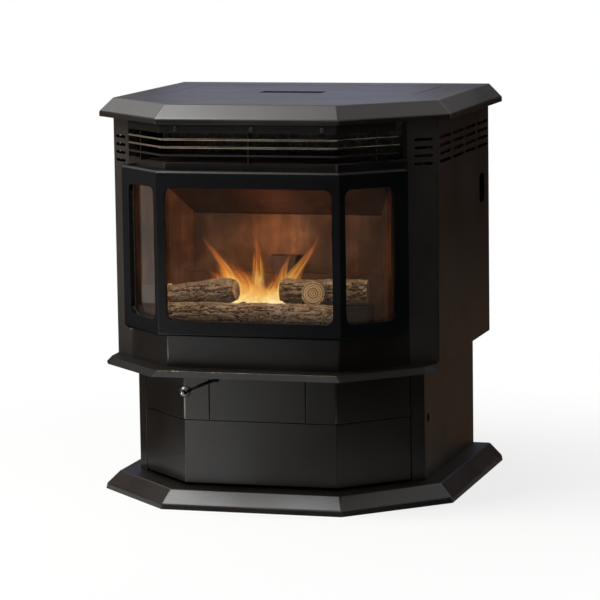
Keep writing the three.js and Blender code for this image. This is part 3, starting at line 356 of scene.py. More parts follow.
def moulded_phenolic():
    """Compression-moulded phenolic, polished black like a billiard ball, with faint handling haze."""
    material, tree, place = new_material("moulded_phenolic")
    haze = add(tree, "ShaderNodeTexNoise", [("Vector", place), ("Scale", 160.0), ("Detail", 3.0)])
    rough = add(
        tree, "ShaderNodeMapRange", [("Value", haze.outputs["Fac"]), ("To Min", 0.08), ("To Max", 0.2)]
    )
    tint = add(
        tree, "ShaderNodeValToRGB", [("Fac", haze.outputs["Fac"])], stops=[(0.3, "#060606"), (0.7, "#0f0e0e")]
    )
    shader = add(
        tree,
        "ShaderNodeBsdfPrincipled",
        [("Base Color", tint.outputs["Color"]), ("Roughness", rough.outputs["Result"]), ("Coat Weight", 0.6)],
    )
    finish_material(tree, shader)
    return material


def ceramic_fibre_log():
    """Vacuum-formed ceramic fibre, painted as oak bark. Attributes on the mesh say how deep a
    fissure is, where the wood is sawn, how far from the pith, and where the fire has charred it."""
    material, tree, place = new_material("painted_ceramic_fibre")
    height, sawn, ring, char = (
        add(tree, "ShaderNodeAttribute", attribute_name=name).outputs["Fac"]
        for name in ("height", "sawn", "ring", "char")
    )
    fleck = add(
        tree, "ShaderNodeTexNoise", [("Vector", place), ("Scale", 330.0), ("Detail", 5.0), ("Roughness", 0.7)]
    )
    patch = add(tree, "ShaderNodeTexNoise", [("Vector", place), ("Scale", 38.0), ("Detail", 4.0)])
    lift = add(
        tree,
        "ShaderNodeMix",
        [(0, 0.45), (2, height), (3, fleck.outputs["Fac"])],
        data_type="FLOAT",
    )
    bark = add(
        tree,
        "ShaderNodeValToRGB",
        [("Fac", lift.outputs["Result"])],
        stops=[(0.2, "#1d1610"), (0.34, "#50443a"), (0.5, "#8e8070"), (0.7, "#cabca4")],
    )
    moss = add(
        tree,
        "ShaderNodeMix",
        [(0, patch.outputs["Fac"]), (6, bark.outputs["Color"]), (7, linear("#5b5346"))],
        data_type="RGBA",
        blend_type="OVERLAY",
    )
    rings = add(
        tree,
        "ShaderNodeTexWave",
        [("Vector", ring), ("Scale", 1.5), ("Distortion", 7.0), ("Detail", 4.0)],
    )
    wood = add(
        tree,
        "ShaderNodeMix",
        [(0, 0.6), (2, rings.outputs["Fac"]), (3, fleck.outputs["Fac"])],
        data_type="FLOAT",
    )
    cut_end = add(
        tree,
        "ShaderNodeValToRGB",
        [("Fac", wood.outputs["Result"])],
        stops=[(0.3, "#8a7858"), (0.48, "#c4b08a"), (0.66, "#ebdfc0")],
    )
    whole = add(
        tree,
        "ShaderNodeMix",
        [(0, sawn), (6, moss.outputs[2]), (7, cut_end.outputs["Color"])],
        data_type="RGBA",
    )
    burnt = add(
        tree,
        "ShaderNodeValToRGB",
        [("Fac", fleck.outputs["Fac"])],
        stops=[(0.4, "#0b0908"), (0.62, "#1d1917"), (0.74, "#6d6862")],
    )
    final = add(
        tree,
        "ShaderNodeMix",
        [(0, char), (6, whole.outputs[2]), (7, burnt.outputs["Color"])],
        data_type="RGBA",
    )
    bump = add(
        tree, "ShaderNodeBump", [("Height", fleck.outputs["Fac"]), ("Distance", 0.0012), ("Strength", 0.7)]
    )
    shader = add(
        tree,
        "ShaderNodeBsdfPrincipled",
        [("Base Color", final.outputs[2]), ("Normal", bump.outputs["Normal"])]
        + [("Roughness", 0.9), ("Specular IOR Level", 0.25)],
    )
    finish_material(tree, shader)
    return material


def burning_gas():
    """Burning gas off wood pellets, as thin lit sheets. It is near white at its root, yellow, then
    orange at its tips, and it thins out to nothing at its sides in licks about 12 mm wide."""
    material, tree, _ = new_material("burning_gas")
    flat = add(tree, "ShaderNodeUVMap").outputs["UV"]
    across = add(tree, "ShaderNodeSeparateXYZ", [("Vector", flat)])
    stretch = add(tree, "ShaderNodeMapping", [("Vector", flat), ("Scale", (5.0, 1.6, 1.0))])
    lick = add(
        tree,
        "ShaderNodeTexNoise",
        [("Vector", stretch.outputs["Vector"]), ("Scale", 1.6), ("Detail", 3.0), ("Distortion", 0.6)],
    )
    fade = add(tree, "ShaderNodeAttribute", attribute_name="fade").outputs["Fac"]
    thin = add(tree, "ShaderNodeMath", [(0, lick.outputs["Fac"]), (1, fade)], operation="MULTIPLY")
    alpha = add(
        tree,
        "ShaderNodeMapRange",
        [("Value", thin.outputs[0]), ("From Min", 0.06), ("From Max", 0.62)],
        interpolation_type="SMOOTHSTEP",
    )
    hot = add(
        tree,
        "ShaderNodeMath",
        [(0, across.outputs["Y"]), (1, lick.outputs["Fac"])],
        operation="SUBTRACT",
    )
    heat = add(tree, "ShaderNodeMath", [(0, hot.outputs[0]), (1, 0.55)], operation="ADD")
    colour = add(
        tree,
        "ShaderNodeValToRGB",
        [("Fac", heat.outputs[0])],
        stops=[(0.05, "#fff4ba"), (0.3, "#ffd672"), (0.5, "#f5a545"), (0.74, "#da7c3a"), (1.0, "#a85a30")],
    )
    shader = add(
        tree,
        "ShaderNodeBsdfPrincipled",
        [("Base Color", linear("#000000")), ("Roughness", 1.0), ("Specular IOR Level", 0.0)]
        + [("Emission Color", colour.outputs["Color"]), ("Emission Strength", 1.25)]
        + [("Alpha", alpha.outputs["Result"])],
    )
    finish_material(tree, shader)
    return material


def glowing_pellets():
    """Pressed wood pellets on fire: orange cracks between patches of grey ash, 5 mm across."""
    material, tree, place = new_material("glowing_wood_pellets")
    ash = add(tree, "ShaderNodeTexNoise", [("Vector", place), ("Scale", 200.0), ("Detail", 4.0)])
    tint = add(
        tree, "ShaderNodeValToRGB", [("Fac", ash.outputs["Fac"])], stops=[(0.4, "#3a1a0a"), (0.6, "#8d857a")]
    )
    glow = add(
        tree,
        "ShaderNodeValToRGB",
        [("Fac", ash.outputs["Fac"])],
        stops=[(0.38, "#ffb040"), (0.52, "#d2480c"), (0.64, "#000000")],
    )
    shader = add(
        tree,
        "ShaderNodeBsdfPrincipled",
        [("Base Color", tint.outputs["Color"]), ("Emission Color", glow.outputs["Color"])]
        + [("Emission Strength", 2.5), ("Roughness", 0.9)],
    )
    finish_material(tree, shader)
    return material


# ---------------------------------------------------------------- modelling


def take(piece):
    """Makes a piece the only selected and active one."""
    bpy.ops.object.select_all(action="DESELECT")
    piece.select_set(True)
    bpy.context.view_layer.objects.active = piece


def added(name):
    """The primitive that was just added, under its own name, with its place in its mesh."""
    piece = bpy.context.object
    piece.name = piece.data.name = name
    bpy.ops.object.transform_apply(location=True, rotation=True, scale=True)
    return piece


def copied(source, name, offset=(0, 0, 0)):
    """A copy of a piece with its own mesh, moved by an offset that stays in that mesh."""
    piece = bpy.data.objects.new(name, source.data.copy())
    bpy.context.scene.collection.objects.link(piece)
    piece.data.transform(Matrix.Translation(offset))
    return piece


def apply_modifiers(piece):
    take(piece)
    for modifier in list(piece.modifiers):
        bpy.ops.object.modifier_apply(modifier=modifier.name)


def smooth(piece, degrees=32, flat_from=None):
    """Shades curves smooth. With flat_from, each face that is at least that wide is shaded flat."""
    take(piece)
    bpy.ops.object.shade_smooth_by_angle(angle=math.radians(degrees))
    if flat_from is None:
        piece.modifiers.new("even_faces", "WEIGHTED_NORMAL").keep_sharp = True
        apply_modifiers(piece)
        return
    mesh = piece.data
    for face in mesh.polygons:
        corners = [mesh.vertices[i].co for i in face.vertices]
        girth = sum((a - b).length for a, b in zip(corners, corners[1:] + corners[:1]))
        if 2 * face.area > flat_from * girth:
            face.use_smooth = False


def paint(piece, material):
    piece.data.materials.clear()
    piece.data.materials.append(material)


def place(piece, node, material):
    """Gives a piece its material and lets it ride in the place of a node."""
    paint(piece, material)
    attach(piece, BODY_OF[node])


def round_edges(piece, width, segments, least, most):
    """Bevels the convex edges that turn by between least and most degrees."""
    take(piece)
    bpy.ops.object.mode_set(mode="EDIT")
    bpy.ops.mesh.select_mode(type="EDGE")
    bpy.ops.mesh.select_all(action="DESELECT")
    mesh = bmesh.from_edit_mesh(piece.data)
    for edge in mesh.edges:
        if len(edge.link_faces) == 2 and least < math.degrees(edge.calc_face_angle_signed()) <= most:
            edge.select_set(True)
    bmesh.update_edit_mesh(piece.data)
    bpy.ops.mesh.bevel(offset=width, segments=segments, affect="EDGES", clamp_overlap=True)
    bpy.ops.object.mode_set(mode="OBJECT")


def worked_copy(node, name):
    """A copy of a node's mesh, its doubles merged and its flat triangles joined."""
    piece = copied(NODES[node], name)
    take(piece)
    bpy.ops.object.mode_set(mode="EDIT")
    bpy.ops.mesh.select_all(action="SELECT")
    bpy.ops.mesh.remove_doubles(threshold=0.01 * MM)
    bpy.ops.mesh.dissolve_limited(angle_limit=math.radians(0.4))
    bpy.ops.object.mode_set(mode="OBJECT")
    return piece


def dress(node, material, crease=0.0, edge=0.0, suffix="sheet", flat_from=None):
    """Stands in for a node with a copy whose folds and edges are rounded."""
    piece = worked_copy(node, f"{node}_{suffix}")
    if crease:
        round_edges(piece, crease, 3, 14, 62)
    if edge:
        round_edges(piece, edge, 2, 62, 150)
    smooth(piece, flat_from=flat_from)
    place(piece, node, material)
    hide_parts(node)
    return piece


# ---------------------------------------------------------------- settings


class SheetSettings(bpy.types.PropertyGroup):
    fold: FloatProperty(
        name="Fold radius",
        description="Outer radius of the folds in painted sheet",
        default=2.4 * MM,
        unit="LENGTH",
    )
    edge: FloatProperty(
        name="Edge radius", description="Radius on the cut edges of sheet", default=0.5 * MM, unit="LENGTH"
    )
    roughness: FloatProperty(
        name="Paint roughness",
        description="Roughness of the satin paint",
        default=0.35,
        min=0,
        max=1,
        subtype="FACTOR",
    )


class LogSettings(bpy.types.PropertyGroup):
    bark: FloatProperty(
        name="Bark depth", description="Depth of the bark's fissures", default=3.4 * MM, unit="LENGTH"
    )
    grid: FloatProperty(
        name="Mesh size", description="Spacing of the bark's mesh", default=1.7 * MM, unit="LENGTH"
    )


class FireSettings(bpy.types.PropertyGroup):
    height: FloatProperty(
        name="Flame height", description="Height of every flame", default=1.0, min=0.2, max=1.4
    )
    glow: FloatProperty(
        name="Glow", description="Power of the light the fire gives", default=1.1, min=0, unit="POWER"
    )
    pellets: IntProperty(
        name="Pellets", description="Burning pellets in the firepot", default=90, min=1, max=200
    )


class StageSettings(bpy.types.PropertyGroup):
    floor: FloatVectorProperty(
        name="Floor",
        description="Colour of the studio floor",
        default=linear("#e9e7e3")[:3],
        size=3,
        subtype="COLOR",
    )
    key: FloatProperty(
        name="Key light", description="Power of the overhead softbox", default=100.0, unit="POWER"
    )
    fill: FloatProperty(name="Surroundings", description="Light from all round", default=0.25, min=0)


# ---------------------------------------------------------------- sheet steel


FOLDED = "base_plate pedestal_shell band_left band_right band_centre ash_door front_face top_plate".split()
# The header and the ash shelf get a darker, less glossy copy of the body paint as painted shade.
SHADED_DULL = ("ash_shelf", "header")
SHELF_CREASE = {"front": -313, "half": 179, "reach": 2.6}  # millimetres
FLAT = (
    "pedestal_crossrail cabinet_floor side_panel_right side_panel_left rear_panel "
    "lid_hinge_left lid_hinge_right hopper_lid lid_pull_cup grille_rack"
).split()


class STOVE_OT_sheet_steel(bpy.types.Operator):
    """Rounds the folds and edges of the painted sheet steel and paints it"""

    bl_idname = "stove.sheet_steel"
    bl_label = "Painted sheet steel"

    def execute(self, context):
        sizes = context.scene.stove_sheet
        body = satin_stove_paint("satin_black_stove_paint", "#0b0806", "#1b140f", sizes.roughness, 0.42)
        # Darker, less glossy copy of the body paint: painted shade on the header and the ash shelf.
        dull = satin_stove_paint("dull_black_paint_with_painted_shade", "#090706", "#15110e", 0.5, 0.12)
        # Lighter copy of the body paint: painted light that makes the pillars read brighter than the rest of
        # the body.
        pillar_lit_paint = satin_stove_paint("black_stove_paint_lightened_as_painted_light", "#1f1c19", "#2e2925", sizes.roughness, 0.42)
        door = satin_stove_paint("satin_blue_black_door_paint", "#040506", "#0a0c10", sizes.roughness, 0.15)
        for node in FOLDED:
            dress(node, body, sizes.fold, sizes.edge, flat_from=BROAD)
        for node in FLAT:
            dress(node, body, 0, sizes.edge, flat_from=BROAD)
        # The pillars take the lighter copy of the paint as painted light.
        for node in ("pillar_right", "pillar_left"):
            dress(node, pillar_lit_paint, 0, sizes.edge, flat_from=BROAD)
        # Painted shade: the header and the ash shelf take the darker copy of the body paint.
        for node in SHADED_DULL:
            dress(node, dull, sizes.fold, sizes.edge, flat_from=BROAD)
        # Paints a highlight on the shelf's front crease.
        self.paint_crease_highlight(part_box("ash_shelf")[1][2])
        dress("door_frame", door, sizes.fold, 0.9 * MM, flat_from=BROAD)
        return {"FINISHED"}

    def paint_crease_highlight(self, top):
        """Paints a glowing highlight on the crease along the front of the ash shelf."""
        shelf = bpy.data.objects["ash_shelf_sheet"]
        # The second material is the painted highlight on the crease.
        shelf.data.materials.append(painted_crease_highlight())
        for face in shelf.data.polygons:
            x, y, z = face.center / MM
            off_crease = max(abs(y - SHELF_CREASE["front"]), top / MM - z)
            on_fold = off_crease < SHELF_CREASE["reach"] and face.normal.z < 0.985
            if on_fold and abs(x) < SHELF_CREASE["half"]:
                face.material_index = 1


def plain_bar(name, low, high):
    """A square bar or plate between two corners, its edges eased."""
    size = [b - a for a, b in zip(low, high)]
    bpy.ops.mesh.primitive_cube_add(size=1, location=[(a + b) / 2 for a, b in zip(low, high)], scale=size)
    piece = added(name)
    round_edges(piece, min(size) * 0.3, 2, 60, 150)
    return piece


# Two corners of each piece behind the right side panel, as x, y and z in millimetres.
# The plate and its flange are a black sheet that stands in for the shade behind the louvres.
SHADE_SHEET_PLATE = ((302, -84, 656), (303, 342, 784))
SHADE_SHEET_FLANGE = ((303, -84, 783), (316, 342, 784))
PANEL_SEAL = ((312, 341, 280), (323.2, 344.7, 756))


class STOVE_OT_louvre_shade_sheets(bpy.types.Operator):
    """Hangs a folded black sheet behind each side's louvres as painted shade in the slots, and seals the side
    panels' rear edges
    """

    bl_idname = "stove.shields"
    bl_label = "Louvre shade sheets and seals"

    def execute(self, context):
        paint_black = bpy.data.materials["satin_black_stove_paint"]
        for side, word in ((1, "right"), (-1, "left")):
            # Black sheet behind the louvres, put there as painted shade in the slots.
            plate = plain_bar(f"louvre_shade_sheet_{word}", *self.corners(side, SHADE_SHEET_PLATE))
            flange = plain_bar("flange", *self.corners(side, SHADE_SHEET_FLANGE))
            take(plate)
            flange.select_set(True)
            bpy.ops.object.join()
            smooth(plate)
            place(plate, "top_plate", paint_black)
            seal = plain_bar(f"panel_seal_{word}", *self.corners(side, PANEL_SEAL))
            smooth(seal)
            place(seal, "rear_panel", paint_black)
        return {"FINISHED"}

    def corners(self, side, spots):
        return [Vector((side * x, y, z)) * MM for x, y, z in spots]


class STOVE_OT_slats(bpy.types.Operator):
    """Plates the two upper slats of the grille and paints the lowest"""

    bl_idname = "stove.slats"
    bl_label = "Grille slats"

    def execute(self, context):
        nickel = nickel_plate()
        for node in ("slat_upper", "slat_middle"):
            dress(node, nickel, 1.5 * MM, 0.6 * MM, "plated")
        dress("slat_lower", bpy.data.materials["satin_black_stove_paint"], 1.5 * MM, 0.6 * MM)
        return {"FINISHED"}


class STOVE_OT_firebox(bpy.types.Operator):
    """Browns the firebox, its liner, baffle and chute, and gives the castings their skin"""

    bl_idname = "stove.firebox"
    bl_label = "Firebox"

    def execute(self, context):
        browned = heat_browned_steel("heat_browned_steel", "#241811", "#4d3626", "#7a5840")
        dark = heat_browned_steel("heat_blackened_steel", "#140e0c", "#2e1c15", "#4a2c1e")
        iron = sand_cast_iron()
        for node in ("firebox", "firebox_liner", "firebox_stand", "ash_pan"):
            dress(node, browned, 1.5 * MM, 0.4 * MM)
        for node in ("baffle", "feed_chute", "glass_retainer", "firepot_slide"):
            dress(node, dark, 1.0 * MM, 0.4 * MM)
        for node in ("firepot", "log_grate"):
            dress(node, iron, 0, 1.2 * MM, "casting")
        return {"FINISHED"}


class STOVE_OT_glass(bpy.types.Operator):
    """Polishes the three panes of the door and lays its felt and rope"""

    bl_idname = "stove.glass"
    bl_label = "Door glass and seals"

    def execute(self, context):
        glass = smoky_ceramic_glass()
        rope = glass_fibre_rope()
        for node in ("glass_front", "glass_left", "glass_right"):
            dress(node, glass, 0, 0.5 * MM, "pane")
        dress("glass_gasket", rope, 0, 0.6 * MM, "felt")
        dress("door_gasket", rope, 0, 1.4 * MM, "rope")
        return {"FINISHED"}


# ---------------------------------------------------------------- logs

FIRE_CENTRE = Vector((-0.036, -0.110, 0.415))

# Each log is a list of runs: start, end, the radius at each, and which ends are sawn.
LOGS = {
    "log_left": [((-206, -142, 401), (-66, -152, 416), (20, 25), (True, False))],
    "log_right": [
        ((28, -163, 418), (198, -141, 416), (24.5, 24.5), (False, True)),
        ((99, -150, 417), (105, -202, 420), (22, 23), (False, True)),
    ],
    "log_front": [((-189, -218, 376), (157, -218, 376), (23, 23), (True, True))],
}


def blend_in(value, low, high):
    """Rises smoothly from 0 at low to 1 at high."""
    share = min(1.0, max(0.0, (value - low) / (high - low)))
    return share * share * (3 - 2 * share)


def nearest_run(point, runs):
    """The run whose surface a point lies nearest to, how far along it is, and its arm off the axis."""
    best = None
    for start, end, radii, sawn in runs:
        axis = end - start
        along = min(1.0, max(0.0, (point - start).dot(axis) / axis.length_squared))
        arm = point - (start + axis * ((point - start).dot(axis) / axis.length_squared))
        gap = abs(arm.length - (radii[0] + (radii[1] - radii[0]) * along)) + max(
            0.0, (point - (start + axis * along)).length - arm.length
        )
        if best is None or gap < best[0]:
            best = (gap, along, arm, axis, radii, sawn)
    return best[1:]


def carve_bark(piece, runs, depth):
    """Moves the vertices of a remeshed log into bark, sawn ends and burnt ends. The bark's ridges are
    about 6 mm wide and 52 mm long, warped by lumps of 16 mm."""
    mesh = piece.data
    layers = {name: [0.0] * len(mesh.vertices) for name in ("height", "sawn", "ring", "char")}
    normals = [vertex.normal.copy() for vertex in mesh.vertices]
    for vertex, normal in zip(mesh.vertices, normals):
        point = vertex.co.copy()
        along, arm, axis, radii, sawn = nearest_run(point, runs)
        radius = max(radii)
        way = axis.normalized()
        taper = (radii[0] + (radii[1] - radii[0]) * along) / radius
        end_gap = min(along, 1 - along) * axis.length
        capped = abs(normal.dot(way)) > 0.75 and end_gap < 3 * MM
        is_sawn = sawn[0 if along < 0.5 else 1]
        warp = noise.noise(point / (16 * MM)) * 5 * MM
        grain = Vector(
            (
                along * axis.length / (52 * MM),
                (arm.y + warp) / (6 * MM) + arm.x / (6 * MM),
                (arm.z - warp) / (6 * MM),
            )
        )
        coarse = 1 - 2.4 * abs(noise.noise(grain))
        fine = 1 - 2.4 * abs(noise.noise(2.3 * grain + Vector((5, 3, 9))))
        ridge = 1 - blend_in(0.62 * coarse + 0.38 * fine, 0.42, 0.98)
        rough = noise.noise(point / (5 * MM)) + 0.5 * noise.noise(point / (2.4 * MM))
        lump = noise.noise(point / (38 * MM))
        if capped and is_sawn:
            move = way * (0.5 * MM * rough) * (1 if along > 0.5 else -1)
            height = 0.5 + 0.5 * rough
        else:
            lift = (ridge - 0.85) * depth + rough * 0.35 * depth + lump * 0.9 * depth
            ease = blend_in(end_gap, 0, 14 * MM) if not is_sawn else 1
            arm_scale = taper * (0.8 + 0.2 * ease) - 1
            move = arm * arm_scale + (arm.normalized() if arm.length > 1e-6 else normal) * lift
            height = 0.15 + 0.6 * ridge + 0.2 * rough
        vertex.co = point + move
        far = (point - FIRE_CENTRE).length
        scorch = 1 - blend_in(far, 34 * MM, 88 * MM)
        layers["height"][vertex.index] = min(1.0, max(0.0, height))
        layers["sawn"][vertex.index] = 1.0 if capped and is_sawn else 0.0
        layers["ring"][vertex.index] = arm.length / radius
        layers["char"][vertex.index] = min(1.0, max(0.0, scorch * (0.8 + 0.5 * rough)))
    for name, values in layers.items():
        mesh.attributes.new(name, "FLOAT", "POINT").data.foreach_set("value", values)


class STOVE_OT_logs(bpy.types.Operator):
    """Models the three ceramic logs, with bark, sawn ends and burnt ends"""

    bl_idname = "stove.logs"
    bl_label = "Ceramic logs"

    def execute(self, context):
        sizes = context.scene.stove_logs
        material = ceramic_fibre_log()
        for node, spec in LOGS.items():
            runs = [
                (Vector(start) * MM, Vector(end) * MM, [radius * MM for radius in radii], sawn)
                for start, end, radii, sawn in spec
            ]
            stems = []
            for start, end, radii, _ in runs:
                axis = end - start
                bpy.ops.mesh.primitive_cylinder_add(
                    vertices=48,
                    radius=max(radii),
                    depth=axis.length,
                    location=(start + end) / 2,
                    rotation=axis.to_track_quat("Z", "X").to_euler(),
                )
                stems.append(added(node + "_stem"))
            piece = stems[0]
            take(piece)
            for stem in stems:
                stem.select_set(True)
            if len(stems) > 1:
                bpy.ops.object.join()
            piece.name = piece.data.name = node + "_bark"
            take(piece)
            piece.data.remesh_voxel_size = sizes.grid * 1
            bpy.ops.object.voxel_remesh()
            carve_bark(piece, runs, sizes.bark)
            smooth(piece, 60)
            place(piece, node, material)
            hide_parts(node)
        return {"FINISHED"}


# ---------------------------------------------------------------- fire

# Each flame: foot x and y, tip x, y and z, half width at the foot, sway, all in millimetres.
FLAMES = [
    (-70, -92, -116, -92, 476, 70, 10),
    (-78, -112, -146, -104, 530, 30, -16),
    (-88, -100, -126, -104, 466, 58, -8),
    (-48, -104, -90, -110, 468, 72, 12),
    (-40, -84, -42, -92, 528, 26, 7),
    (-34, -112, -66, -116, 466, 64, -10),
    (-8, -100, 8, -104, 452, 48, 8),
    (6, -88, 32, -92, 502, 24, -8),
    (14, -108, 104, -112, 536, 26, -20),
    (-96, -90, -150, -88, 456, 44, 12),
    (-22, -124, -18, -126, 436, 70, 6),
    (-66, -122, -84, -124, 440, 60, -8),
    (22, -96, 60, -98, 466, 34, 10),
    (-90, -80, -138, -78, 492, 44, 14),
]
FLAME_FOOT = 386


def shape_flame(piece, flame, height):
    """Bends a flat grid into a tapering, swaying lick, and writes how it fades at its sides and tip."""
    foot_x, foot_y, tip_x, tip_y, tip_z, half, sway = flame
    fade = []
    rise = (tip_z - FLAME_FOOT) * height
    for vertex in piece.data.vertices:
        u, v = 2 * vertex.co.x, vertex.co.y + 0.5
        wave = math.sin(5.2 * v + foot_x) * sway * v
        width = half * (1 - v) ** 0.75 * (1 + 0.22 * math.sin(7 * v + foot_y))
        x = foot_x + (tip_x - foot_x) * v**1.4 + wave * 0.6 + u * width
        y = foot_y + (tip_y - foot_y) * v + (1 - u * u) * -6 + 3 * math.sin(9 * v + foot_x)
        vertex.co = Vector((x, y, FLAME_FOOT + rise * v)) * MM
        sides = max(0.0, 1 - u * u) ** 1.3
        fade.append(sides * (1 - 0.78 * v**1.5) * blend_in(v, -0.06, 0.03))
    piece.data.attributes.new("fade", "FLOAT", "POINT").data.foreach_set("value", fade)


class STOVE_OT_fire(bpy.types.Operator):
    """Lays burning pellets in the firepot, raises the flames and lights the firebox"""

    bl_idname = "stove.fire"
    bl_label = "Fire"

    def execute(self, context):
        sizes = context.scene.stove_fire
        self.pellets(sizes.pellets)
        gas = burning_gas()
        for number, flame in enumerate(FLAMES):
            bpy.ops.mesh.primitive_grid_add(x_subdivisions=10, y_subdivisions=26, size=1)
            piece = added(f"flame_{number + 1:02d}")
            shape_flame(piece, flame, sizes.height)
            bpy.ops.object.shade_smooth()
            paint(piece, gas)
            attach(piece, BODY_OF["firepot"])
            piece.visible_shadow = False
        for name, spot, share in (
            ("glow_low", (-36, -112, 440), 0.5),
            ("glow_high", (-14, -74, 500), 0.8),
        ):
            light = bpy.data.lights.new(name, "POINT")
            light.energy = sizes.glow * share
            light.color = linear("#ffcb96")[:3]
            light.shadow_soft_size = 0.035
            lamp = bpy.data.objects.new(name, light)
            context.scene.collection.objects.link(lamp)
            lamp.location = Vector(spot) * MM
            lamp.visible_camera = lamp.visible_transmission = lamp.visible_glossy = False
        area_light(
            context.scene, "window_daylight", (0, -0.246, 0.62), (0, -0.2, 0.38), (0.4, 0.03), 0.5, "#fff0dc"
        )
        return {"FINISHED"}

    def pellets(self, count):
        """Short pressed cylinders, tumbled in a heap, joined as one piece."""
        seeded = random.Random(7)
        bpy.ops.mesh.primitive_cylinder_add(vertices=9, radius=3.1 * MM, depth=14 * MM)
        first = added("pellet")
        round_edges(first, 0.7 * MM, 1, 50, 150)
        low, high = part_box("firepot")
        heap = []
        for _ in range(count):
            x = seeded.uniform(-1, 1)
            y = seeded.uniform(-1, 1)
            crown = 1 - 0.5 * (x * x + y * y)
            spin = Matrix.Rotation(seeded.uniform(0, 3.14), 4, "Z")
            tip = Matrix.Rotation(seeded.uniform(1.1, 2.0), 4, "X")
            copy = copied(first, "pellet_copy")
            height = high[2] + (-30 + 26 * crown) * MM
            spot = (x * 42 * MM, (low[1] + high[1]) / 2 + y * 40 * MM, height)
            copy.data.transform(Matrix.Translation(spot) @ spin @ tip)
            heap.append(copy)
        take(heap[0])
        for copy in heap:
            copy.select_set(True)
        bpy.ops.object.join()
        pile = heap[0]
        pile.name = pile.data.name = "burning_pellets"
        bpy.data.objects.remove(first)
        smooth(pile, 40)
        paint(pile, glowing_pellets())
        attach(pile, BODY_OF["firepot"])


# ---------------------------------------------------------------- knob, screws and machinery


class STOVE_OT_knob(bpy.types.Operator):
    """Turns the ball knob, flattened at its back, and dresses the polished pull rod"""

    bl_idname = "stove.knob"
    bl_label = "Pull rod and knob"

    def execute(self, context):
        steel = heat_browned_steel("oiled_bright_steel", "#2b2a29", "#4a4947", "#6c6a66", 1.0)
        dress("cleanout_rod", steel, 0, 0.4 * MM, "turned")
        low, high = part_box("cleanout_knob")
        centre = [(a + b) / 2 for a, b in zip(low, high)]
        bpy.ops.mesh.primitive_uv_sphere_add(
            segments=48, ring_count=28, radius=10.9 * MM, location=centre, rotation=(math.pi / 2, 0, 0)
        )
        knob = added("ball_knob")
        take(knob)
        bpy.ops.object.mode_set(mode="EDIT")
        bpy.ops.mesh.select_mode(type="FACE")
        bpy.ops.mesh.select_all(action="DESELECT")
        mesh = bmesh.from_edit_mesh(knob.data)
        rear = centre[1] + 9.6 * MM
        for face in mesh.faces:
            face.select_set(face.calc_center_median().y > rear)
        bmesh.update_edit_mesh(knob.data)
        bpy.ops.transform.resize(value=(1, 0, 1), center_override=(centre[0], rear, centre[2]))
        bpy.ops.object.mode_set(mode="OBJECT")
        smooth(knob, 40)
        place(knob, "cleanout_knob", moulded_phenolic())
        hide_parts("cleanout_knob")
        return {"FINISHED"}


def button_screw(name, radius):
    """A button-head screw that faces -Y, with a six-sided socket."""
    facing = (math.pi / 2, 0, 0)
    bpy.ops.mesh.primitive_cylinder_add(vertices=28, radius=radius, depth=0.55 * radius, rotation=facing)
    head = added(name)
    round_edges(head, 0.42 * radius, 4, 60, 150)
    bpy.ops.mesh.primitive_cylinder_add(
        vertices=6, radius=0.5 * radius, depth=radius, location=(0, -0.55 * radius, 0), rotation=facing
    )
    socket = added("socket")
    take(head)
    carve = head.modifiers.new("socket", "BOOLEAN")
    carve.operation = "DIFFERENCE"
    carve.object = socket
    carve.solver = "EXACT"
    apply_modifiers(head)
    bpy.data.objects.remove(socket)
    smooth(head, 35)
    return head


HEADER_SCREWS = (-143, 10, 150.5)
HEADER_SCREW_HEIGHT = 744


class STOVE_OT_screws(bpy.types.Operator):
    """Sets the screws of the header and the rear panel"""

    bl_idname = "stove.screws"
    bl_label = "Screws"

    def execute(self, context):
        black = satin_stove_paint("black_oxide_screws", "#121110", "#24211f", 0.34, 0.5)
        head = button_screw("screw", 4.4 * MM)
        stand_off = 0.9 * MM
        inset = 9 * MM
        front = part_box("header")[0][1]
        for x in HEADER_SCREWS:
            spot = (x * MM, front - stand_off, HEADER_SCREW_HEIGHT * MM)
            self.set_screw(head, "header", black, spot, 0)
        (left, _, low), (right, back, high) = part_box("rear_panel")
        for x in (left + inset, left / 3, right / 3, right - inset):
            for z in (low + inset, high - inset):
                self.set_screw(head, "rear_panel", black, (x, back + stand_off, z), math.pi)
        bpy.data.objects.remove(head)
        return {"FINISHED"}

    def set_screw(self, head, node, material, spot, turn):
        piece = copied(head, f"{node}_screw_{len(bpy.data.objects)}")
        piece.data.transform(Matrix.Translation(spot) @ Matrix.Rotation(turn, 4, "Z"))
        place(piece, node, material)


class STOVE_OT_machinery(bpy.types.Operator):
    """Finishes the feed, the blowers, the ducts and the control cover"""

    bl_idname = "stove.machinery"
    bl_label = "Machinery"

    def execute(self, context):
        zinc = galvanised_sheet()
        steel = bpy.data.materials["oiled_bright_steel"]
        dull = satin_stove_paint("dull_black_motor_enamel", "#1a1a1b", "#2d2d2e", 0.55, 0.4)
        for node in ("hopper", "exhaust_housing", "exhaust_duct", "convection_housing"):
            dress(node, zinc, 0, 0.4 * MM)
        for node in ("exhaust_impeller", "convection_wheel"):
            dress(node, zinc, 0, 0, "wheel")
        for node in ("auger_tube", "flue_collar", "air_intake"):
            dress(node, steel, 0, 0.3 * MM)
        dress("auger_screw", steel, 0, 0, "flight")
        for node in ("auger_motor", "exhaust_motor", "convection_motor", "control_box"):
            dress(node, dull, 0, 1.2 * MM, "enamelled")
        return {"FINISHED"}


# ---------------------------------------------------------------- stage

# The camera that the photograph's creases and edges fit.
CAMERA_SPOT = (1.7365, -5.9194, 1.2303)
CAMERA_YAW = 15.99
CAMERA_PITCH = 7.85
CAMERA_ROLL = -0.80
CAMERA_LENS = 185.73
CAMERA_SHIFT = (-0.01627, -0.00302)


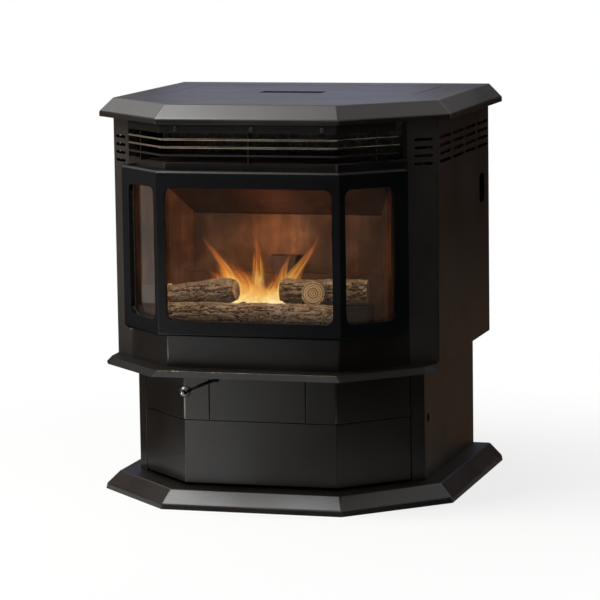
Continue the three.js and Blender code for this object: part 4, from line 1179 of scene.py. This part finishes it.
def photo_camera(scene):
    yaw, pitch, roll = (math.radians(angle) for angle in (CAMERA_YAW, CAMERA_PITCH, CAMERA_ROLL))
    ahead = Vector((-math.sin(yaw) * math.cos(pitch), math.cos(yaw) * math.cos(pitch), -math.sin(pitch)))
    level = Vector((math.cos(yaw), math.sin(yaw), 0))
    upright = level.cross(ahead)
    right = math.cos(roll) * level + math.sin(roll) * upright
    up = math.cos(roll) * upright - math.sin(roll) * level
    data = bpy.data.cameras.new("photo_camera")
    data.lens, data.sensor_width = CAMERA_LENS, 36
    data.shift_x, data.shift_y = CAMERA_SHIFT
    camera = bpy.data.objects.new("photo_camera", data)
    turn = Matrix((right, up, -ahead)).transposed().to_4x4()
    camera.matrix_world = Matrix.Translation(CAMERA_SPOT) @ turn
    scene.collection.objects.link(camera)
    scene.camera = camera


def area_light(scene, name, spot, aim, size, power, colour="#ffffff"):
    """A soft rectangular lamp at a spot, facing its aim."""
    light = bpy.data.lights.new(name, "AREA")
    light.shape = "RECTANGLE"
    light.size, light.size_y = size
    light.energy = power
    light.color = linear(colour)[:3]
    lamp = bpy.data.objects.new(name, light)
    facing = (Vector(aim) - Vector(spot)).to_track_quat("-Z", "Y")
    lamp.matrix_world = Matrix.Translation(spot) @ facing.to_matrix().to_4x4()
    scene.collection.objects.link(lamp)


def card_finish(name, code, strength=1.0):
    """Matt card that shows as one even shade in the reflections."""
    material, tree, _ = new_material(name)
    shader = add(tree, "ShaderNodeEmission", [("Color", linear(code)), ("Strength", strength)])
    finish_material(tree, shader)
    return material


def card(name, spot, aim, size, material, turn=0):
    """A card that shows only in reflections. A card that lies on the floor can be turned."""
    facing = (Vector(aim) - Vector(spot)).to_track_quat("Z", "Y").to_euler()
    facing.z += math.radians(turn)
    bpy.ops.mesh.primitive_plane_add(size=1, location=spot, rotation=facing)
    bpy.context.object.scale = (*size, 1)
    plane = added(name)
    paint(plane, material)
    plane.visible_camera = False
    plane.visible_shadow = False
    plane.visible_diffuse = False
    plane.visible_transmission = False


def floor_finish(colour):
    """Seamless paper. It is plain white to the camera but for the object's soft shadow."""
    material, tree, place = new_material("seamless_paper")
    ray = add(tree, "ShaderNodeLightPath")
    far = add(tree, "ShaderNodeVectorMath", [(0, place)], operation="LENGTH")
    reach = add(
        tree,
        "ShaderNodeMapRange",
        [("Value", far.outputs["Value"]), ("From Min", 0.45), ("From Max", 1.3)]
        + [("To Min", 0.8), ("To Max", 1.0)],
    )
    share = add(
        tree,
        "ShaderNodeMath",
        [(0, ray.outputs["Is Camera Ray"]), (1, reach.outputs["Result"])],
        operation="MULTIPLY",
    )
    paper = add(tree, "ShaderNodeBsdfDiffuse", [("Color", (*colour, 1))])
    white = add(tree, "ShaderNodeEmission", [("Strength", 1.0)])
    both = add(
        tree, "ShaderNodeMixShader", [(0, share.outputs[0]), (1, paper.outputs[0]), (2, white.outputs[0])]
    )
    finish_material(tree, both)
    return material


def surroundings(scene, fill):
    """White to the camera, in gloss and through glass, and a soft even light for the rest."""
    world = bpy.data.worlds.new("studio")
    scene.world = world
    world.use_nodes = True
    tree = world.node_tree
    tree.nodes.clear()
    ray = add(tree, "ShaderNodeLightPath")
    outside = add(
        tree,
        "ShaderNodeMath",
        [(0, ray.outputs["Is Camera Ray"]), (1, ray.outputs["Is Glossy Ray"])],
        operation="MAXIMUM",
    )
    seen = add(
        tree,
        "ShaderNodeMath",
        [(0, outside.outputs[0]), (1, ray.outputs["Is Transmission Ray"])],
        operation="MAXIMUM",
    )
    strength = add(
        tree, "ShaderNodeMapRange", [("Value", seen.outputs[0]), ("To Min", fill), ("To Max", 1.0)]
    )
    light = add(tree, "ShaderNodeBackground", [("Strength", strength.outputs["Result"])])
    light.inputs["Color"].default_value = (1, 1, 1, 1)
    tree.links.new(light.outputs[0], add(tree, "ShaderNodeOutputWorld").inputs["Surface"])


class STOVE_OT_stage(bpy.types.Operator):
    """Sets the floor, the studio lights, the cards and the camera"""

    bl_idname = "stove.stage"
    bl_label = "Studio"

    def execute(self, context):
        scene = context.scene
        settings = scene.stove_stage
        bpy.ops.mesh.primitive_plane_add(size=14, location=(0, 0, 0))
        floor = added("studio_floor")
        paint(floor, floor_finish(settings.floor))
        surroundings(scene, settings.fill)
        area_light(
            scene, "overhead_softbox", (-1.35, -0.9, 2.6), (-0.2, -0.2, 0.5), (1.6, 1.6), settings.key
        )
        black = card_finish("black_card", "#0a0908")
        bluish = card_finish("blue_grey_card", "#302f4c")
        brown = card_finish("brown_card", "#2a1a10")
        tan = card_finish("tan_card", "#5a4838")
        sky = card_finish("pale_blue_card", "#9aa0c8", 6.0)
        line = card_finish("line_card", "#fff8ee", 16.0)
        grey = card_finish("grey_card", "#a09a97")
        bright = card_finish("bright_card", "#ffffff", 2.0)
        card("card_behind", (-1.5, 3.0, 1.0), (-0.9, 0, 1.0), (5.0, 1.8), bluish)
        card("card_right", (2.6, -0.9, 0.9), (0, -0.9, 0.9), (3.4, 2.4), black)
        card("card_right_rear", (1.9, 3.2, 0.9), (1.9, 0, 0.9), (2.8, 2.2), brown)
        card("card_front", (-0.6, -2.6, 0.6), (-0.6, 0, 0.6), (4.0, 1.4), black)
        card("card_left", (-3.3, 0.2, 0.7), (0, 0.2, 0.7), (3.4, 1.6), grey)
        card("card_left_rear", (-2.0, 1.6, 0.9), (0, 1.6, 0.9), (2.4, 1.4), tan)
        card("card_behind_bright", (-0.85, 2.95, 1.24), (-0.85, 0, 1.24), (0.8, 0.09), sky)
        card("card_left_high", (-1.9, 0.95, 1.9), (-0.3, -0.2, 0.8), (0.8, 0.8), bright)
        card("floor_right_rear", (1.5, 1.8, 0.004), (1.5, 1.8, 1), (2.4, 3.0), tan)
        card("floor_right", (1.6, -1.0, 0.004), (1.6, -1.0, 1), (2.0, 2.4), black)
        card("floor_left", (-1.7, 0.3, 0.004), (-1.7, 0.3, 1), (2.4, 2.2), brown)
        card("floor_front", (0.15, -1.5, 0.003), (0.15, -1.5, 1), (2.6, 2.0), black)
        card("floor_front_left", (-0.66, -1.35, 0.006), (-0.66, -1.35, 1), (0.6, 2.2), bright, -16)
        card("floor_line", (-1.35, -1.0, 0.009), (-1.35, -1.0, 1), (2.2, 0.18), line, 30.5)
        photo_camera(scene)
        scene.view_settings.view_transform = "Standard"
        return {"FINISHED"}


# ---------------------------------------------------------------- add-on

OPERATORS = (
    STOVE_OT_sheet_steel,
    STOVE_OT_louvre_shade_sheets,
    STOVE_OT_slats,
    STOVE_OT_firebox,
    STOVE_OT_glass,
    STOVE_OT_logs,
    STOVE_OT_fire,
    STOVE_OT_knob,
    STOVE_OT_screws,
    STOVE_OT_machinery,
    STOVE_OT_stage,
)
SETTINGS = {
    "stove_sheet": SheetSettings,
    "stove_logs": LogSettings,
    "stove_fire": FireSettings,
    "stove_stage": StageSettings,
}


class STOVE_PT_panel(bpy.types.Panel):
    """Lists the settings and the steps"""

    bl_label = "Pellet stove"
    bl_idname = "STOVE_PT_panel"
    bl_space_type = "VIEW_3D"
    bl_region_type = "UI"
    bl_category = "Stove"

    def draw(self, context):
        for attribute, group in SETTINGS.items():
            for name in group.__annotations__:
                self.layout.prop(getattr(context.scene, attribute), name)
        for operator in OPERATORS:
            self.layout.operator(operator.bl_idname)


def register():
    for group in SETTINGS.values():
        bpy.utils.register_class(group)
    for attribute, group in SETTINGS.items():
        setattr(bpy.types.Scene, attribute, PointerProperty(type=group))
    for item in (*OPERATORS, STOVE_PT_panel):
        bpy.utils.register_class(item)


def unregister():
    for item in reversed((*OPERATORS, STOVE_PT_panel)):
        bpy.utils.unregister_class(item)
    for attribute in SETTINGS:
        delattr(bpy.types.Scene, attribute)
    for group in SETTINGS.values():
        bpy.utils.unregister_class(group)


def main():
    register()
    bpy.ops.stove.sheet_steel()
    bpy.ops.stove.shields()
    bpy.ops.stove.slats()
    bpy.ops.stove.firebox()
    bpy.ops.stove.glass()
    bpy.ops.stove.logs()
    bpy.ops.stove.fire()
    bpy.ops.stove.knob()
    bpy.ops.stove.screws()
    bpy.ops.stove.machinery()
    bpy.ops.stove.stage()


if __name__ == "__main__":
    main()
